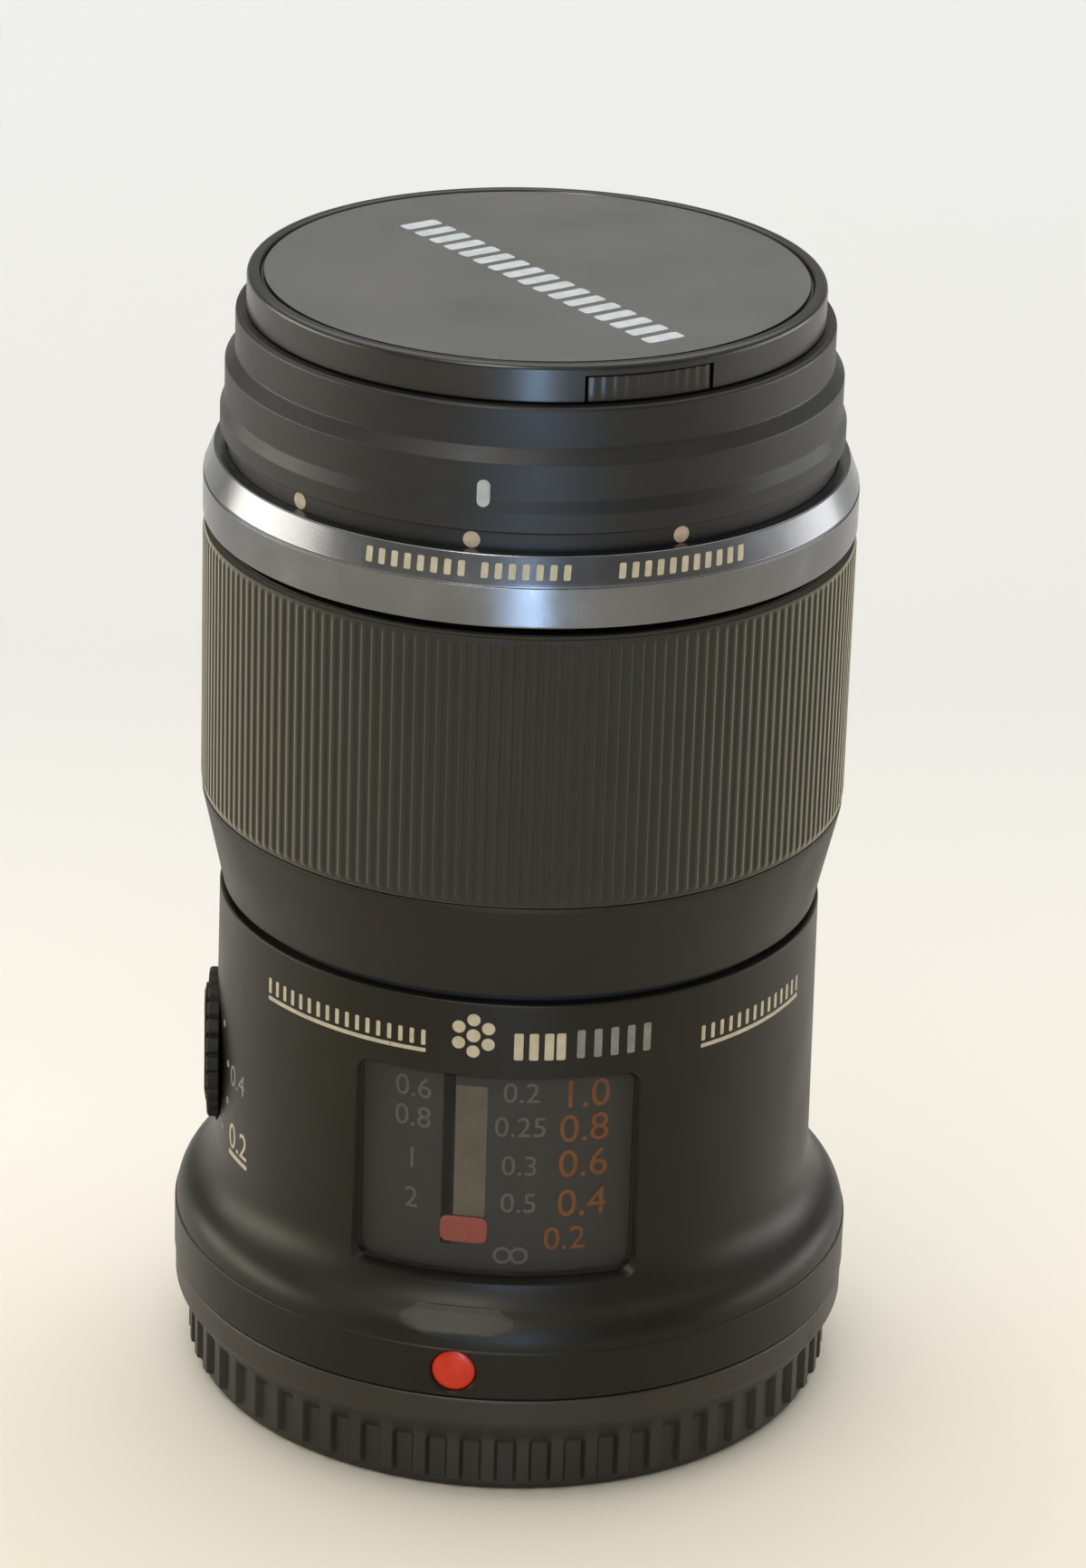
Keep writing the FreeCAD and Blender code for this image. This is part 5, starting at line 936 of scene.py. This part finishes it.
FINISHES = {
    steel: ["mount_bayonet", "guide_rods", "rear_lead_screw", "front_lead_screw", "dial_clip"],
    plated_steel: ["mount_screws", "rear_motor", "front_motor", "iris_motor"],
    gold: ["contact_pins"],
    brass: ["iris_pinion"],
    seal_rubber: ["mount_seal"],
    inner_black: ["rear_baffle", "contact_block", "front_cap_back", "inner_barrel", "front_cell",
                  "rear_cell", "focus_carriage", "float_carriage", "iris_base", "iris_cover",
                  "limit_switch"],
    slider_white: ["iris_drive_ring"],
    blade_black: [f"iris_blade_{index}" for index in range(1, 8)],
    board_green: ["main_board"],
    film_amber: ["flex_print"],
    coated_glass: ["lens_04", "lens_05", "lens_08", "lens_11", "lens_12", "lens_13",
                   "lens_02_03", "lens_06_07", "lens_09_10"],
}
for node_finish, nodes in FINISHES.items():
    for node in nodes:
        for material_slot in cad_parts[node].material_slots:
            material_slot.material = node_finish

# floor, light and camera

VIEW_TURN = math.radians(8.4)


def towards_view(across, away, height=0.0):
    """A place on the stage: across the picture and away from the camera, in metres."""
    return Vector((across * math.cos(VIEW_TURN) - away * math.sin(VIEW_TURN),
                   across * math.sin(VIEW_TURN) + away * math.cos(VIEW_TURN), height))


STAGE_REACH = 3.6
STAGE_DEPTH = 1.4
STAGE_BEND = 0.5


def stage_sweep():
    """A floor that rises behind: a straight line, a quarter circle and a wall, carried across."""
    run = np.linspace(-STAGE_REACH, STAGE_DEPTH, 70)
    bend = np.linspace(0, math.pi / 2, 24)
    away = np.concatenate([run, STAGE_DEPTH + STAGE_BEND * np.sin(bend[1:]),
                           np.full(6, STAGE_DEPTH + STAGE_BEND)])
    height = np.concatenate([0 * run, STAGE_BEND * (1 - np.cos(bend[1:])),
                             np.linspace(0.6, 1.4, 6)])
    spread = np.linspace(-STAGE_REACH, STAGE_REACH, 37)
    away, across = np.meshgrid(away, spread, indexing="ij")
    height = np.repeat(height[:, None], len(spread), axis=1)
    x = across * math.cos(VIEW_TURN) - away * math.sin(VIEW_TURN)
    y = across * math.sin(VIEW_TURN) + away * math.cos(VIEW_TURN)
    return weld(np.stack([x, y, height], axis=-1), grid_quads(*away.shape))


def painted_stage_finish():
    """A pale matte floor whose colour steps with the distance away, as painted light and shade:
    cream near the lens, darker grey a little behind it, pale grey further off.
    """
    material = bpy.data.materials.new("stage_paper_painted_light")
    material.use_nodes = True
    tree = material.node_tree
    shader = tree.nodes["Principled BSDF"]
    shader.inputs["Roughness"].default_value = 0.75
    own = add(tree, "TexCoord").outputs["Object"]
    mapping = add(tree, "Mapping")
    mapping.inputs["Rotation"].default_value = (0, 0, -VIEW_TURN)
    tree.links.new(own, mapping.inputs["Vector"])
    split = add(tree, "SeparateXYZ")
    tree.links.new(mapping.outputs["Vector"], split.inputs["Vector"])
    spread = add(tree, "MapRange")
    spread.inputs["From Min"].default_value = -0.06
    spread.inputs["From Max"].default_value = 0.54
    tree.links.new(split.outputs["Y"], spread.inputs["Value"])
    # the stops paint light and shade: lighter near the lens, darker behind it under the overhead
    # lamp
    ramp = add(tree, "ValToRGB")
    ramp.color_ramp.elements[0].color = srgb(236, 227, 209)
    ramp.color_ramp.elements[1].color = srgb(222, 224, 225)
    ramp.color_ramp.elements.new(0.12).color = srgb(238, 232, 220)
    ramp.color_ramp.elements.new(0.35).color = srgb(213, 212, 208)
    tree.links.new(spread.outputs["Result"], ramp.inputs["Fac"])
    tree.links.new(ramp.outputs["Color"], shader.inputs["Base Color"])
    return material


floor = thing_from("stage_floor", stage_sweep())
floor.data.materials.append(painted_stage_finish())
floor.data.shade_smooth()


def area_light(name, place, target, size, power, colour, diffuse=True, gloss=True):
    """A soft rectangular light that points at a target; it may show in gloss alone, or not."""
    data = bpy.data.lights.new(name, "AREA")
    data.shape = "RECTANGLE"
    data.size = size[0]
    data.size_y = size[1]
    data.energy = power
    data.color = colour
    light = bpy.data.objects.new(name, data)
    bpy.context.scene.collection.objects.link(light)
    aim = (target - place).to_track_quat("-Z", "Y")
    light.matrix_world = Matrix.Translation(place) @ aim.to_matrix().to_4x4()
    light.visible_camera = False
    light.visible_diffuse = diffuse
    light.visible_glossy = gloss


LENS_MIDDLE = Vector((0, 0, 0.05))
area_light("overhead", towards_view(0.0, 0.38, 1.05), LENS_MIDDLE, (1.7, 1.2), 11.5,
           (1, 0.995, 0.985))
area_light("front_fill", towards_view(-0.3, -0.5, 0.9), LENS_MIDDLE, (1.2, 0.6), 2.9,
           (1, 0.985, 0.95), gloss=False)
area_light("left_panel", towards_view(-0.55, 0.06, 0.12), LENS_MIDDLE, (0.5, 0.15), 1.7,
           (1, 0.965, 0.86), diffuse=False)
area_light("right_panel", towards_view(0.55, 0.14, 0.065), LENS_MIDDLE, (0.5, 0.13), 1.02,
           (0.99, 0.995, 1), diffuse=False)
area_light("tall_blue", towards_view(0.003, -0.215, 0.065), Vector((0, 0, 0.07)),
           (0.01, 0.13), 0.21, (0.42, 0.66, 1), diffuse=False)
area_light("index_glow", Vector((-0.096, -0.462, 0.557)), Vector((0, -0.027, 0.0155)),
           (0.14, 0.14), 2.15, (1, 0.98, 0.93), diffuse=False)


def soft_room():
    """A room that is dim and warm on the camera's side and light everywhere else."""
    world = bpy.data.worlds.new("soft_room")
    world.use_nodes = True
    tree = world.node_tree
    backdrop = tree.nodes["Background"]
    bearing = add(tree, "Mapping")
    bearing.inputs["Rotation"].default_value = (0, 0, -VIEW_TURN)
    tree.links.new(add(tree, "TexCoord").outputs["Generated"], bearing.inputs["Vector"])
    sides = add(tree, "SeparateXYZ")
    tree.links.new(bearing.outputs["Vector"], sides.inputs["Vector"])
    room = add(tree, "ValToRGB")
    room.color_ramp.elements[0].position = 0.1
    room.color_ramp.elements[0].color = (0.375, 0.36, 0.31, 1)
    room.color_ramp.elements[1].position = 0.62
    room.color_ramp.elements[1].color = (0.88, 0.878, 0.865, 1)
    half = add(tree, "MapRange")
    half.inputs["From Min"].default_value = -1.0
    tree.links.new(sides.outputs["Y"], half.inputs["Value"])
    tree.links.new(half.outputs["Result"], room.inputs["Fac"])
    tree.links.new(room.outputs["Color"], backdrop.inputs["Color"])
    backdrop.inputs["Strength"].default_value = 0.76
    return world


bpy.context.scene.view_settings.view_transform = "Standard"
bpy.context.scene.world = soft_room()

# the camera, fitted to the photograph's rings
FOCAL_PIXELS = 6262.9
PHOTO_HEIGHT = 1733
CAMERA_REACH = 0.4238
CAMERA_HEIGHT = 0.2309
PITCH = 0.402
YAW = 0.004
ROLL = 0.032


def camera_turn():
    """The camera's right, up and backward axes from its yaw, pitch and roll, then turned
    with the view about the lens axis."""
    ahead = np.array([math.sin(YAW) * math.cos(PITCH), math.cos(YAW) * math.cos(PITCH),
                      -math.sin(PITCH)])
    right = np.array([math.cos(YAW), -math.sin(YAW), 0.0])
    up = np.cross(right, ahead)
    right, up = (math.cos(ROLL) * right + math.sin(ROLL) * up,
                 math.cos(ROLL) * up - math.sin(ROLL) * right)
    axes = np.stack([right, up, -ahead], axis=1)
    return Matrix.Rotation(VIEW_TURN, 3, "Z") @ Matrix(axes.tolist())


lens_data = bpy.data.cameras.new("photo_camera")
lens_data.sensor_width = 36.0
lens_data.lens = FOCAL_PIXELS / PHOTO_HEIGHT * lens_data.sensor_width
lens_data.clip_start = 0.02
lens_data.clip_end = 10.0
camera = bpy.data.objects.new("photo_camera", lens_data)
bpy.context.scene.collection.objects.link(camera)
camera.matrix_world = (Matrix.Translation(towards_view(0, -CAMERA_REACH, CAMERA_HEIGHT))
                       @ camera_turn().to_4x4())
bpy.context.scene.camera = camera
